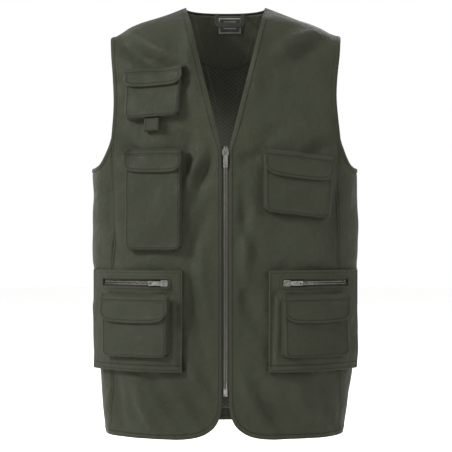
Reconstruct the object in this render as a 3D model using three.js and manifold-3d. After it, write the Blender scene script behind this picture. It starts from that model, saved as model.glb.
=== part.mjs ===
// Fishing vest: a sleeveless V-neck shell of olive cloth on a mesh lining, closed by a metal front zip,
// with three flapped chest pockets and, on each hip, a zipped bellows pocket that carries a flapped pouch.
//
// Frame: millimetres, +Z up, the front faces -Y, +X is the wearer's left. The origin is the middle of the
// neck opening, level with the tops of the shoulder seams. A "drop" is a distance below the origin.
import * as THREE from 'three';
import { mergeVertices } from 'three/addons/utils/BufferGeometryUtils.js';
import Module from 'manifold-3d';

// ---------- Driving dimensions ----------
// The garment
const bodyLength = 739;        // origin to hem
const cloth = 1.8;             // shell with its seam allowances
const facingCloth = 0.9;       // facings, lining and tapes
const layerGap = 0.6;          // free space between two layers of cloth
const liningGap = 1.8;         // free space where the shoulders curve both ways
const seamGap = 0.4;           // free space where two panels meet edge to edge
const neckHalf = 70;           // centre to the neck end of the shoulder seam
const neckBackDepth = 62;
const shoulderHalf = 200;      // centre to the shoulder tip
const shoulderDrop = 53;
const deltoidHalf = 243;       // half width that the shoulder surface aims at beyond the armhole
const deltoidDrop = 100;
const underarmDrop = 283;      // lowest point of the armhole
const chestHalf = 231;
const chestDepth = 122;        // mid-plane to centre front, and to centre back
const hipHalf = 221;
const hemHalf = 209;
const hemDepth = 118;
const hipDropAboveHem = 115;   // hip line above the hem
const armholeInset = 10;       // how far the armhole edge runs inside the shoulder tip
const armholeWaistDrop = 157;  // drop where the armhole edge is furthest in
const bindingWidth = 6;
const sideSeamHalf = 193;      // side-front and side-back seams at the waist

// The front opening and its zip
const vBottomDrop = 253;       // slider top when closed
const zipLength = 412;
const frontEdge = 6.1;         // centre line to each front edge along the zip
const hemCornerWidth = 90;
const liningHemGap = 22;       // mesh lining ends above the hem
const chainWidth = 6;          // both rows of teeth together
const chainThick = 2.8;
const chainSlit = 1.5;         // between the two rows
const toothPitch = 3.6;
const tapeWidth = 14;

// Sliders and pulls, one size for all three zips
const sliderWidth = 10.4;
const sliderLength = 12.5;
const sliderPlate = 1.3;
const sliderPlay = 0.35;       // running clearance round the chain
const bridgeBar = 1.3;
const eyeBar = 1.7;            // cross bar of the pull, held under the bridge
const pullLength = 26;
const pullWidth = 7.6;
const pullThick = 1.5;

// Flapped pockets on the chest: middle, drop of the mouth, size, slope of the mouth in degrees, and how far
// the flap reaches below the mouth
const chestPockets = [
  { name: 'upper_chest', x: -120, top: 123, width: 93, height: 80, tilt: 3.5, flap: 28 },
  { name: 'lower_chest', x: -119, top: 260, width: 95, height: 162, tilt: 0, flap: 33 },
  { name: 'left_chest', x: 120, top: 266, width: 117, height: 98, tilt: -6.3, flap: 37 },
];
const pouchDepth = 12;
const pouchMouth = 10.5;       // depth of the pouch at its mouth
const flapOverhang = 3;        // how far a flap reaches past each side of its pouch
const flapRise = 8;            // hinge line above the mouth
const flapThick = 1.6;
const flapGap = 2.4;           // between a flap and the pouch under it, for the hook-and-loop tapes

// Hip pockets
const bagTopAboveHem = 283;
const bagHeight = 169;
const bagInner = 70;           // centre line to the inner edge of the bag
const bagOuter = 219;          // centre line to the point of the body under its outer edge
const bagDepth = [10, 13, 9];  // depth at the inner edge, the middle and the outer edge
const slitDropInBag = 21;      // bag top down to the middle of the zip slit
const slitHeight = 12.2;
const slitStart = 4.5;         // degrees round the bag
const slitEnd = 48.5;
const weltWidth = 4;           // raised frame round the slit
const weltThick = 1;
const hipPouchFromTop = 47;    // bag top down to the mouth of the pouch
const hipPouchWidth = 121;
const hipPouchHeight = 97;
const hipPouchAngle = 24.5;    // degrees round the bag to the middle of the pouch
const hipPouchBow = 330;       // radius of its front
const hipMouth = 8;            // depth of the pouch at its mouth
const hipSwell = 2;            // how much deeper it is at its foot
const hipFlap = 40;

// Small pieces
const labelShift = 8;          // label and hanger loop sit off centre
const labelWidth = 41;
const labelHeight = 26;
const loopTape = 7;            // hanger loop tape
const loopSpan = 54;
const loopDrop = 26;
const tabWidth = 25;           // tool loop
const tabHeight = 22;
const tabLoopThick = 7;        // gap inside the folded tool loop
const fastenerTape = 14;       // hook-and-loop tape

// Section of the body: |x / half|^n + |y / depth|^n = 1
const sectionPower = 2.4;

// ---------- Materials ----------
const finish = (color, roughness, metalness) =>
  new THREE.MeshStandardMaterial({ color, roughness, metalness });
const shellCloth = finish(0x474a3b, 0.78, 0);
const trimCloth = finish(0x3f4134, 0.82, 0);
const innerCloth = finish(0x2b2c24, 0.9, 0);
const meshCloth = finish(0x36372e, 0.95, 0);
const labelCloth = finish(0x494947, 0.85, 0);
const tapeCloth = finish(0x34362c, 0.85, 0);
const nickel = finish(0x9a9a94, 0.35, 1);
const fastener = finish(0x24251f, 0.95, 0);

// ---------- Body surface ----------
// Smooth curve through [drop, value, slope] stations, straight beyond the ends.
function along(stations, drop) {
  const first = stations[0];
  if (drop <= first[0]) return first[1] + (drop - first[0]) * first[2];
  for (let i = 1; i < stations.length; i++) {
    const [d0, v0, m0] = stations[i - 1];
    const [d1, v1, m1] = stations[i];
    if (drop > d1) continue;
    const span = d1 - d0;
    const t = (drop - d0) / span;
    const s = 1 - t;
    return v0 * (1 + 2 * t) * s * s + v1 * (1 + 2 * s) * t * t + span * t * s * (m0 * s - m1 * t);
  }
  const last = stations[stations.length - 1];
  return last[1] + (drop - last[0]) * last[2];
}

const hipDrop = bodyLength - hipDropAboveHem;
const zipEndDrop = vBottomDrop + zipLength;
const shoulderSlope = (shoulderHalf - neckHalf) / shoulderDrop;
const halfStations = [
  [0, neckHalf, shoulderSlope],
  [shoulderDrop, shoulderHalf, shoulderSlope],
  [deltoidDrop, deltoidHalf, 0],
  [underarmDrop, chestHalf, 0],
  [hipDrop, hipHalf, -0.08],
  [bodyLength, hemHalf, -0.12],
];
const frontStations = [
  [0, 9, 3],
  [shoulderDrop, 0.66 * chestDepth, 0.6],
  [2 * shoulderDrop, 0.84 * chestDepth, 0.25],
  [vBottomDrop - 20, chestDepth, 0],
  [zipEndDrop, chestDepth, 0],
  [bodyLength, hemDepth, -0.08],
];
const backStations = [
  [0, neckBackDepth, 1.1],
  [shoulderDrop, 0.83 * chestDepth, 0.4],
  [armholeWaistDrop, chestDepth + 2, 0],
  [0.54 * bodyLength, chestDepth - 5, 0],
  [bodyLength, hemDepth + 2, 0],
];
const halfAt = (drop) => along(halfStations, drop);
const depthAt = (drop, side) => along(side < 0 ? frontStations : backStations, drop);

// Point of the body surface at a distance x from the centre plane; side is -1 for the front, 1 for the back.
function onBody(x, drop, side) {
  const share = Math.min(1, Math.abs(x) / halfAt(drop));
  const y = side * depthAt(drop, side) * (1 - share ** sectionPower) ** (1 / sectionPower);
  return new THREE.Vector3(x, y, -drop);
}

function bodyValue(x, y, z) {
  const side = y < 0 ? -1 : 1;
  return (Math.abs(x) / halfAt(-z)) ** sectionPower + (Math.abs(y) / depthAt(-z, side)) ** sectionPower - 1;
}

// Outward normal of the body surface.
function bodyNormal(p) {
  const n = sectionPower;
  const side = p.y < 0 ? -1 : 1;
  const half = halfAt(-p.z);
  const depth = depthAt(-p.z, side);
  const fx = (n * Math.sign(p.x) * Math.abs(p.x) ** (n - 1)) / half ** n;
  const fy = (n * Math.sign(p.y) * Math.abs(p.y) ** (n - 1)) / depth ** n;
  const e = 0.5;
  const fz = (bodyValue(p.x, p.y, p.z + e) - bodyValue(p.x, p.y, p.z - e)) / (2 * e);
  return new THREE.Vector3(fx, fy, fz).normalize();
}

const lifted = (p, lift) => p.clone().addScaledVector(bodyNormal(p), lift);

// Distance along a ray from inside the body to its surface.
function rayToBody(from, direction, far) {
  let inside = 0;
  let outside = far;
  for (let i = 0; i < 40; i++) {
    const middle = (inside + outside) / 2;
    const p = from.clone().addScaledVector(direction, middle);
    if (bodyValue(p.x, p.y, p.z) < 0) inside = middle;
    else outside = middle;
  }
  return inside;
}

// ---------- Edges of the panels ----------
const armholeHalf = shoulderHalf - armholeInset;

// Outer edge of the armhole binding, between the shoulder tip and the underarm.
function armholeOuter(drop) {
  if (drop <= armholeWaistDrop) {
    const up = (armholeWaistDrop - drop) / (armholeWaistDrop - shoulderDrop);
    return armholeHalf + armholeInset * Math.max(0, up) ** 1.6;
  }
  const bottom = halfAt(underarmDrop);
  const down = Math.min(1, (drop - armholeWaistDrop) / (underarmDrop - armholeWaistDrop));
  return armholeHalf + (bottom - armholeHalf) * (1 - (1 - down ** 2.3) ** (1 / 2.3));
}
// Edge of the cloth inside the binding.
const clothUnderarmDrop = underarmDrop + bindingWidth;
const armholeCloth = (drop) => {
  if (drop <= armholeWaistDrop) return armholeOuter(drop) - bindingWidth;
  const bottom = halfAt(clothUnderarmDrop);
  const down = Math.min(1, (drop - armholeWaistDrop) / (clothUnderarmDrop - armholeWaistDrop));
  const waist = armholeHalf - bindingWidth;
  return waist + (bottom - waist) * (1 - (1 - down ** 2.3) ** (1 / 2.3));
};
const clothTipHalf = shoulderHalf - bindingWidth;
const clothTipDrop = (clothTipHalf - neckHalf) / shoulderSlope;

// The seams on either side of the side panel start on the armhole and run down to the hem.
const seamTopDrop = armholeWaistDrop + 0.7 * (underarmDrop - armholeWaistDrop);
const seamStations = [
  [seamTopDrop, armholeCloth(seamTopDrop), -0.02],
  [hipDrop - 200, Math.min(sideSeamHalf, 0.87 * chestHalf), 0],
  [bodyLength, Math.min(sideSeamHalf + 6, 0.96 * hemHalf), 0.03],
];
const sideSeam = (drop) => along(seamStations, drop);

// Inner edge of a front: straight V, straight zip edge, rounded hem corner.
function frontInner(drop) {
  if (drop < vBottomDrop) return frontEdge + (neckHalf - frontEdge - 1) * (1 - drop / vBottomDrop);
  if (drop < zipEndDrop) return frontEdge;
  const down = Math.min(1, (drop - zipEndDrop) / (bodyLength - zipEndDrop));
  return frontEdge + hemCornerWidth * (1 - (1 - down ** 3) ** (1 / 3));
}

// ---------- Solids ----------
// Closed solid between two matching grids of points; loop joins the last row to the first.
function shell(outer, inner, loop = false) {
  const rows = outer.length;
  const cols = outer[0].length;
  const positions = [...outer.flat(), ...inner.flat()].flatMap((p) => [p.x, p.y, p.z]);
  const at = (layer, r, c) => layer * rows * cols + (r % rows) * cols + c;
  const index = [];
  const quad = (a, b, c, d) => index.push(a, b, c, a, c, d);
  const lastRow = loop ? rows : rows - 1;
  for (let r = 0; r < lastRow; r++) {
    for (let c = 0; c < cols - 1; c++) {
      quad(at(0, r, c), at(0, r, c + 1), at(0, r + 1, c + 1), at(0, r + 1, c));
      quad(at(1, r, c), at(1, r + 1, c), at(1, r + 1, c + 1), at(1, r, c + 1));
    }
    quad(at(0, r, 0), at(0, r + 1, 0), at(1, r + 1, 0), at(1, r, 0));
    quad(at(0, r, cols - 1), at(1, r, cols - 1), at(1, r + 1, cols - 1), at(0, r + 1, cols - 1));
  }
  if (!loop) {
    for (let c = 0; c < cols - 1; c++) {
      quad(at(0, 0, c), at(1, 0, c), at(1, 0, c + 1), at(0, 0, c + 1));
      quad(at(0, rows - 1, c), at(0, rows - 1, c + 1), at(1, rows - 1, c + 1), at(1, rows - 1, c));
    }
  }
  return outwards(positions, index);
}

// Geometry whose faces point out, whichever way round its grid was given.
function outwards(positions, index) {
  let volume = 0;
  const p = (i) => new THREE.Vector3().fromArray(positions, 3 * i);
  for (let i = 0; i < index.length; i += 3) {
    volume += p(index[i]).dot(p(index[i + 1]).cross(p(index[i + 2])));
  }
  if (volume < 0) index.reverse();
  const geometry = new THREE.BufferGeometry();
  geometry.setAttribute('position', new THREE.Float32BufferAttribute(positions, 3));
  geometry.setIndex(index);
  geometry.computeVertexNormals();
  return geometry;
}

const wasm = await Module();
wasm.setup();

function toSolid(geometry) {
  const bare = new THREE.BufferGeometry();
  const source = geometry.index ? geometry.toNonIndexed() : geometry;
  bare.setAttribute('position', source.getAttribute('position').clone());
  const merged = mergeVertices(bare, 1e-4);
  const vertProperties = merged.getAttribute('position').array;
  const triVerts = new Uint32Array(merged.index.array);
  return new wasm.Manifold(new wasm.Mesh({ numProp: 3, vertProperties, triVerts }));
}

function toGeometry(solid) {
  const mesh = solid.getMesh();
  const geometry = new THREE.BufferGeometry();
  geometry.setAttribute('position', new THREE.BufferAttribute(mesh.vertProperties, 3));
  geometry.setIndex(new THREE.BufferAttribute(mesh.triVerts, 1));
  geometry.computeVertexNormals();
  return geometry;
}

const join = (parts) => toGeometry(parts.map(toSolid).reduce((a, b) => a.add(b)));
const cut = (body, tools) => toGeometry(tools.map(toSolid).reduce((a, b) => a.subtract(b), toSolid(body)));

const vest = new THREE.Group();
vest.name = 'fishing_vest';

function piece(name, geometry, material, parent = vest) {
  const mesh = new THREE.Mesh(geometry, material);
  mesh.name = name;
  parent.add(mesh);
  return mesh;
}

const steps = (from, to, count) =>
  Array.from({ length: count + 1 }, (_, i) => from + ((to - from) * i) / count);
const grid = (rows, cols, point) => rows.map((v) => cols.map((u) => point(u, v)));

// Sheet of cloth that follows the body between two lifts.
function clothSheet(points, top, bottom) {
  return shell(
    points.map((row) => row.map((p) => lifted(p, top))),
    points.map((row) => row.map((p) => lifted(p, bottom))),
  );
}

// Box by its two corners.
function block(x0, x1, y0, y1, z0, z1) {
  return new THREE.BoxGeometry(x1 - x0, y1 - y0, z1 - z0)
    .translate((x0 + x1) / 2, (y0 + y1) / 2, (z0 + z1) / 2);
}

// ---------- Shell panels ----------
const wearerSides = [{ name: 'right', s: -1 }, { name: 'left', s: 1 }];
// Rows crowd towards the shoulder seam, where the cloth turns over the shoulder, and columns towards the side
// seams, where it turns round the side.
const upperRows = steps(0, 1, 9).map((t) => 1 - (1 - t) ** 2.1);
const crowded = (t) => Math.sin((t * 5 * Math.PI) / 12) / Math.sin((5 * Math.PI) / 12);

// Keeps a point of the front or the back clear of the shoulder seam.
function offSeam(p, side) {
  p.y = side * Math.max(Math.abs(p.y), seamGap / 2);
  return p;
}

// Rows run from the shoulder seam to the hem, columns from the front edge (0) to the armhole and side seam
// (1). The upper rows count from the level where the side seam starts (0) to the shoulder seam (1).
const armholeUp = (v) => armholeCloth(seamTopDrop + (clothTipDrop - seamTopDrop) * v);

function frontPanel(s, cols) {
  const upper = grid(upperRows, cols, (u, v) => {
    const drop = seamTopDrop + (clothTipDrop * u - seamTopDrop) * v;
    const inner = v === 1 ? neckHalf : frontInner(seamTopDrop * (1 - v));
    const outer = v === 1 ? clothTipHalf : armholeUp(v);
    return offSeam(onBody(s * ((1 - u) * inner + u * outer), drop, -1), -1);
  });
  const hemRise = bodyLength - zipEndDrop;
  const corner = steps(0, 1, 5).map((t) => zipEndDrop + hemRise * Math.sin((t * Math.PI) / 2));
  const lowerRows = [...steps(seamTopDrop, zipEndDrop, 7).slice(1), ...corner.slice(1)];
  const lower = grid(lowerRows, cols, (u, drop) => {
    const outer = sideSeam(drop) - seamGap / 2;
    return onBody(s * ((1 - u) * frontInner(drop) + u * outer), drop, -1);
  });
  return [...upper.reverse(), ...lower];
}

// Angle round the side of the body, 0 at the side and a quarter turn at the centre, and back to a distance
// from the centre plane.
const sideAngle = (x, drop) => Math.acos(Math.min(1, x / halfAt(drop)) ** (sectionPower / 2));
const halfForAngle = (angle, drop) => halfAt(drop) * Math.cos(angle) ** (2 / sectionPower);

// Drop at which the armhole's lower curve crosses an angle round the side.
function armholeDropAt(angle) {
  let high = seamTopDrop;
  let low = clothUnderarmDrop;
  for (let i = 0; i < 40; i++) {
    const middle = (high + low) / 2;
    if (sideAngle(armholeCloth(middle), middle) > angle) high = middle;
    else low = middle;
  }
  return high;
}

// Columns run from the front seam (-1) round to the back seam (1).
function sidePanel(s) {
  return grid(steps(0, 1, 8), steps(-1, 1, 10), (u, v) => {
    const topAngle = sideAngle(sideSeam(seamTopDrop) + seamGap / 2, seamTopDrop) * Math.abs(u);
    const top = u === 0 ? clothUnderarmDrop : armholeDropAt(topAngle);
    const drop = top + (bodyLength - top) * v;
    const angle = sideAngle(sideSeam(drop) + seamGap / 2, drop) * Math.abs(u);
    return onBody(s * halfForAngle(angle, drop), drop, u < 0 ? -1 : 1);
  });
}

// Columns run from the right armhole (-1) to the left (1); the middle ones end on the back neck.
function backPanel() {
  const neckShare = 0.4;
  const cols = steps(-1, 1, 16).map(crowded);
  const topPoint = (u) => {
    const a = Math.abs(u);
    if (a < neckShare) return { x: halfForAngle((Math.PI / 2) * (1 - a / neckShare), 0), drop: 0 };
    const share = (a - neckShare) / (1 - neckShare);
    return { x: neckHalf + (clothTipHalf - neckHalf) * share, drop: clothTipDrop * share };
  };
  const upper = grid(upperRows, cols, (u, v) => {
    const top = topPoint(u);
    const drop = seamTopDrop + (top.drop - seamTopDrop) * v;
    const share = Math.abs(u) + (top.x / clothTipHalf - Math.abs(u)) * v ** 1.5;
    const edge = v === 1 ? clothTipHalf : armholeUp(v);
    return offSeam(onBody(Math.sign(u) * edge * share, drop, 1), 1);
  });
  const lowerRows = [...steps(seamTopDrop, bodyLength - liningHemGap, 7).slice(1), bodyLength];
  const lower = grid(lowerRows, cols, (u, drop) =>
    onBody(u * (sideSeam(drop) - seamGap / 2), drop, 1));
  return [...upper.reverse(), ...lower];
}

// ---------- Armhole bindings: a folded strip round each armhole, beyond the panel edges ----------
// The loop runs down the front edge, round under the arm and up the back edge, on the panels' own points.
function armholeLoop(s, front, side, back) {
  const backColumn = s < 0 ? 0 : back[0].length - 1;
  const frontEdgePoints = front.slice(0, upperRows.length).map((row) => row[row.length - 1]);
  const backEdgePoints = back.slice(0, upperRows.length).map((row) => row[backColumn]).reverse();
  return [...frontEdgePoints, ...side[0].slice(1, -1), ...backEdgePoints];
}

function bindingSolid(s, loop) {
  const count = loop.length;
  const holeMiddle = new THREE.Vector3(1.2 * s * chestHalf, 0, -armholeWaistDrop);
  const layers = [[], []];
  loop.forEach((p, i) => {
    const run = loop[(i + 1) % count].clone().sub(loop[(i + count - 1) % count]);
    const normal = bodyNormal(p);
    const away = run.cross(normal).normalize();
    if (away.dot(holeMiddle.clone().sub(p)) < 0) away.negate();
    const edge = (reach, lift) => p.clone().addScaledVector(away, reach).addScaledVector(normal, lift);
    layers[0].push([edge(layerGap, 0.7), edge(bindingWidth, 0.2)]);
    layers[1].push([edge(layerGap, -cloth - 0.7), edge(bindingWidth, -cloth - 0.2)]);
  });
  return shell(layers[0], layers[1], true);
}

const back = backPanel();
piece('back_panel', clothSheet(back, 0, -cloth), shellCloth);
for (const { name, s } of wearerSides) {
  const front = frontPanel(s, steps(0, 1, 7).map(crowded));
  const side = sidePanel(s);
  piece(`${name}_front_panel`, clothSheet(front, 0, -cloth), shellCloth);
  piece(`${name}_side_panel`, clothSheet(side, 0, -cloth), shellCloth);
  piece(`${name}_armhole_binding`, bindingSolid(s, armholeLoop(s, front, side, back)), trimCloth);
}

// ---------- Inside: facings, mesh lining, shoulder stays, label ----------
const tapeTop = -cloth - layerGap;               // lift of the outer face of the zip tapes
const tapeBottom = tapeTop - facingCloth;
const chainLift = (tapeTop + tapeBottom) / 2;    // middle plane of the teeth
const frontFacingTop = tapeBottom - layerGap;
const facingTop = -cloth - facingCloth - liningGap;
const backFacingHalf = 1.6 * neckHalf;
const backFacingDrop = 93;
const facingBottom = (x) => backFacingDrop - 69 * (x / backFacingHalf) ** 2;
const shoulderTop = (x) => Math.max(0, (Math.abs(x) - neckHalf) / shoulderSlope);

for (const { name, s } of wearerSides) {
  const strip = frontPanel(s, steps(0, 0.24, 2));
  piece(`${name}_front_facing`, clothSheet(strip, frontFacingTop, frontFacingTop - facingCloth), innerCloth);
}
const backFacing = grid(steps(0, 1, 3), steps(-backFacingHalf, backFacingHalf, 14), (x, v) => {
  const top = shoulderTop(x) + 1;
  return onBody(x, top + (facingBottom(x) - top) * v, 1);
});
piece('back_neck_facing', clothSheet(backFacing, facingTop, facingTop - facingCloth), innerCloth);

// The mesh lining hangs between the back panel and the facing, from below the shoulder seam to above the
// hem.
const liningTop = -cloth - layerGap;
const lining = clothSheet(back.slice(2, -1), liningTop, liningTop - facingCloth);
piece('back_mesh_lining', lining, meshCloth);

// A stay tape under each shoulder seam has a flat underside: it is what a hanger or a shoulder bears on.
const stayStart = backFacingHalf + 8;
const stayEnd = shoulderHalf - bindingWidth - 9;
const stayWidth = 14;
const stayLift = 1.2;          // free space above the tape
for (const { name, s } of wearerSides) {
  const slope = Math.atan2(shoulderDrop, shoulderHalf - neckHalf);
  const start = (stayStart - neckHalf) / Math.cos(slope);
  const end = (stayEnd - neckHalf) / Math.cos(slope);
  const top = -cloth - stayLift;
  const [x0, x1] = s < 0 ? [-end, -start] : [start, end];
  const tape = block(x0, x1, -stayWidth / 2, stayWidth / 2, top - facingCloth, top);
  const stay = piece(`${name}_shoulder_stay`, tape, innerCloth);
  stay.position.set(s * neckHalf, 0, 0);
  stay.rotation.set(0, s * slope, 0);
}

const labelTop = 3;
const labelRows = steps(labelTop, labelTop + labelHeight, 2);
const labelCols = steps(-labelWidth / 2, labelWidth / 2, 3);
const label = grid(labelRows, labelCols, (x, drop) => onBody(labelShift + x, drop, 1));
const labelLift = facingTop - facingCloth - liningGap;
piece('neck_label', clothSheet(label, labelLift, labelLift - facingCloth), labelCloth);

// Hanger loop: a tape folded into a U, hanging straight down from the neck seam.
function hangerLoop() {
  const half = loopSpan / 2;
  const chamfer = 6;
  const shape = new THREE.Shape([
    new THREE.Vector2(-half, 0),
    new THREE.Vector2(-half, -loopDrop + chamfer),
    new THREE.Vector2(-half + chamfer, -loopDrop),
    new THREE.Vector2(half - chamfer, -loopDrop),
    new THREE.Vector2(half, -loopDrop + chamfer),
    new THREE.Vector2(half, 0),
    new THREE.Vector2(half - loopTape, 0),
    new THREE.Vector2(half - loopTape, -loopDrop + loopTape + 2),
    new THREE.Vector2(-half + loopTape, -loopDrop + loopTape + 2),
    new THREE.Vector2(-half + loopTape, 0),
  ]);
  return new THREE.ExtrudeGeometry(shape, { depth: facingCloth, bevelEnabled: false }).rotateX(Math.PI / 2);
}
const hanger = piece('hanger_loop', hangerLoop(), trimCloth);
const hangerY = onBody(labelShift + loopSpan / 2, 0, 1).y - cloth - 2 * facingCloth - 4 * layerGap;
hanger.position.set(labelShift, hangerY, -2);

// ---------- Zips ----------
// A track places a point of a zip: along it from the closed end, across it, and lifted off the cloth.
const mainTrack = (a, b, w) => new THREE.Vector3(b, -chestDepth - w, -vBottomDrop - a);

// One row of teeth, joined along the tape: a band whose inner edge is a zigzag of the tooth pitch.
function teethRow(start, end, side, track) {
  const perSection = 4;
  const sections = Math.floor((end - start) / (perSection * toothPitch));
  const count = sections * perSection;
  const tip = chainSlit / 2;
  const root = tip + 1.3;
  const shift = side < 0 ? toothPitch / 2 : 0;
  const roots = steps(start, start + count * toothPitch, count).map((a) => [a + shift, root]);
  const tips = roots.slice(1).map(([a]) => [a - toothPitch / 2, tip]);
  const edgeRun = steps(start + shift, start + shift + count * toothPitch, sections);
  const edge = edgeRun.map((a) => [a, chainWidth / 2]);
  const points = [...roots, ...tips, ...edge];
  const positions = [1, -1].flatMap((face) =>
    points.flatMap(([a, b]) => track(a, side * b, chainLift + (face * chainThick) / 2).toArray()));
  const index = [];
  const cap = (a, b, c) => index.push(a, b, c, a + points.length, c + points.length, b + points.length);
  const wall = (a, b) => index.push(a, b + points.length, b, a, a + points.length, b + points.length);
  const tipAt = (i) => roots.length + i;
  const edgeAt = (i) => roots.length + tips.length + i;
  for (let i = 0; i < count; i++) {
    cap(edgeAt(Math.floor(i / perSection)), i, i + 1);
    cap(i, tipAt(i), i + 1);
    wall(i, tipAt(i));
    wall(tipAt(i), i + 1);
  }
  for (let k = 0; k < sections; k++) {
    cap(edgeAt(k), (k + 1) * perSection, edgeAt(k + 1));
    wall(edgeAt(k + 1), edgeAt(k));
  }
  wall(edgeAt(0), 0);
  wall(count, edgeAt(sections));
  return outwards(positions, index);
}

// One tape: a thin strip beside its row of teeth.
function tapeStrip(start, end, side, width, segments, track) {
  const edge = chainWidth / 2 + 0.5;
  const rows = steps(start, end, segments);
  const layer = (w) => grid(rows, [edge, edge + width], (b, a) => track(a, side * b, w));
  return shell(layer(tapeTop), layer(tapeBottom));
}

// Rounded plate in the XZ plane, from y0 to y1, its outline made of corners with one radius.
function plate(halfWidth, z0, z1, radius, y0, y1, holes = []) {
  const shape = new THREE.Shape();
  shape.moveTo(halfWidth - radius, z0);
  shape.absarc(halfWidth - radius, z0 + radius, radius, -Math.PI / 2, 0);
  shape.absarc(halfWidth - radius, z1 - radius, radius, 0, Math.PI / 2);
  shape.absarc(-halfWidth + radius, z1 - radius, radius, Math.PI / 2, Math.PI);
  shape.absarc(-halfWidth + radius, z0 + radius, radius, Math.PI, 1.5 * Math.PI);
  shape.holes.push(...holes);
  return new THREE.ExtrudeGeometry(shape, { depth: y1 - y0, bevelEnabled: false, curveSegments: 3 })
    .rotateX(Math.PI / 2).translate(0, y1, 0);
}

// Slider, its origin in the middle of the chain: two plates, a thin web between the rows, lips that leave a
// slot for each tape, and a bridge for the pull.
const channel = chainThick / 2 + sliderPlay;
const sliderFace = channel + sliderPlate;
const bridgeRoom = eyeBar + 1.2;
const bridgeReach = sliderFace + bridgeRoom + bridgeBar;
const bridgeHalf = 4.6;
const hingeOut = sliderFace + bridgeRoom / 2;    // hinge line of the pull in front of the chain's middle
function sliderBody() {
  const half = sliderLength / 2;
  const lip = [chainWidth / 2 + sliderPlay + 0.4, sliderWidth / 2 - 0.5];
  const slot = facingCloth / 2 + sliderPlay;
  const parts = [
    plate(sliderWidth / 2, -half, half, 2.2, -sliderFace, -channel),
    plate(sliderWidth / 2, -half, half, 2.2, channel, sliderFace),
    block(-0.35, 0.35, -channel - 0.3, channel + 0.3, half - 5, half - 0.6),
    block(-1.1, 1.1, -bridgeReach, -bridgeReach + bridgeBar, -bridgeHalf, bridgeHalf),
  ];
  for (const s of [-1, 1]) {
    const [x0, x1] = s < 0 ? [-lip[1], -lip[0]] : lip;
    parts.push(block(x0, x1, -channel - 0.3, -slot, -half + 2, half - 2));
    parts.push(block(x0, x1, slot, channel + 0.3, -half + 2, half - 2));
    const [z0, z1] = s < 0 ? [-bridgeHalf, -bridgeHalf + bridgeBar] : [bridgeHalf - bridgeBar, bridgeHalf];
    parts.push(block(-1.1, 1.1, -bridgeReach + 0.3, -sliderFace + 0.3, z0, z1));
  }
  return join(parts);
}

// Pull, its origin on the hinge line: an eye round the bridge, and a tab with a round hole.
function pullTab() {
  const eyeHalf = 3.3;
  const eyeEnd = bridgeHalf + 2.3;
  const window = new THREE.Path([
    new THREE.Vector2(-1.75, -eyeBar / 2),
    new THREE.Vector2(1.75, -eyeBar / 2),
    new THREE.Vector2(1.75, -eyeEnd + 0.9),
    new THREE.Vector2(-1.75, -eyeEnd + 0.9),
  ]);
  const hole = new THREE.Path().absarc(0, -pullLength + 4, 1.5, 0, 2 * Math.PI, true);
  const y = pullThick / 2;
  return join([
    plate(eyeHalf, -eyeEnd - 1, eyeBar / 2, 0.8, -y, y, [window]),
    plate(pullWidth / 2, -pullLength, -eyeEnd - 0.4, 1.2, -y, y, [hole]),
  ]);
}

// Puts a piece at a point, its +Z along up and its -Y along out.
function stand(mesh, origin, out, up) {
  const basis = new THREE.Matrix4().makeBasis(out.clone().negate().cross(up), out.clone().negate(), up);
  mesh.position.copy(origin);
  mesh.quaternion.setFromRotationMatrix(basis);
}

const frontOut = new THREE.Vector3(0, -1, 0);
const upwards = new THREE.Vector3(0, 0, 1);
const boxLength = 13;
const pinLength = 25;
const boxHalf = chainWidth / 2 + 0.2;
for (const { name, s } of wearerSides) {
  const rowEnd = zipLength - (s < 0 ? boxLength + 0.5 : pinLength + 0.5);
  piece(`${name}_zip_tape`, tapeStrip(-4, zipLength + 1, s, tapeWidth, 2, mainTrack), tapeCloth);
  piece(`${name}_zip_teeth`, teethRow(1.5, rowEnd, s, mainTrack), nickel);
  const [x0, x1] = s < 0 ? [-chainWidth / 2, -0.9] : [0.9, chainWidth / 2];
  const stop = block(x0, x1, -1.5, 1.5, 0.5, 3.4);
  stop.translate(0, -chestDepth - chainLift, -vBottomDrop);
  piece(`${name}_zip_top_stop`, stop, nickel);
}
// Box and pin at the foot of the zip; the pin stands in a pocket of the box with a free space all round.
const boxFoot = -zipEndDrop;
const chainY = -chestDepth - chainLift;
const boxDeep = 2.2;           // half its thickness
const pinHalf = 0.95;
const pinPlay = 0.35;
const [pinX0, pinX1] = [0.65, 2.35];
const retainer = cut(
  block(-boxHalf, boxHalf, chainY - boxDeep, chainY + boxDeep, boxFoot, boxFoot + boxLength),
  [block(
    pinX0 - pinPlay,
    pinX1 + pinPlay,
    chainY - pinHalf - pinPlay,
    chainY + pinHalf + pinPlay,
    boxFoot + 1.5,
    boxFoot + boxLength + 1,
  )],
);
piece('zip_retainer_box', retainer, nickel);
const pin = block(pinX0, pinX1, chainY - pinHalf, chainY + pinHalf, boxFoot + 2, boxFoot + pinLength);
piece('zip_insert_pin', pin, nickel);

const mainSlider = piece('zip_slider', sliderBody(), nickel);
const mainSliderAt = mainTrack(sliderLength / 2, 0, chainLift);
stand(mainSlider, mainSliderAt, frontOut, upwards);
const mainPull = piece('zip_pull', pullTab(), nickel);
stand(mainPull, mainSliderAt.clone().addScaledVector(frontOut, hingeOut), frontOut, upwards);

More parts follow.
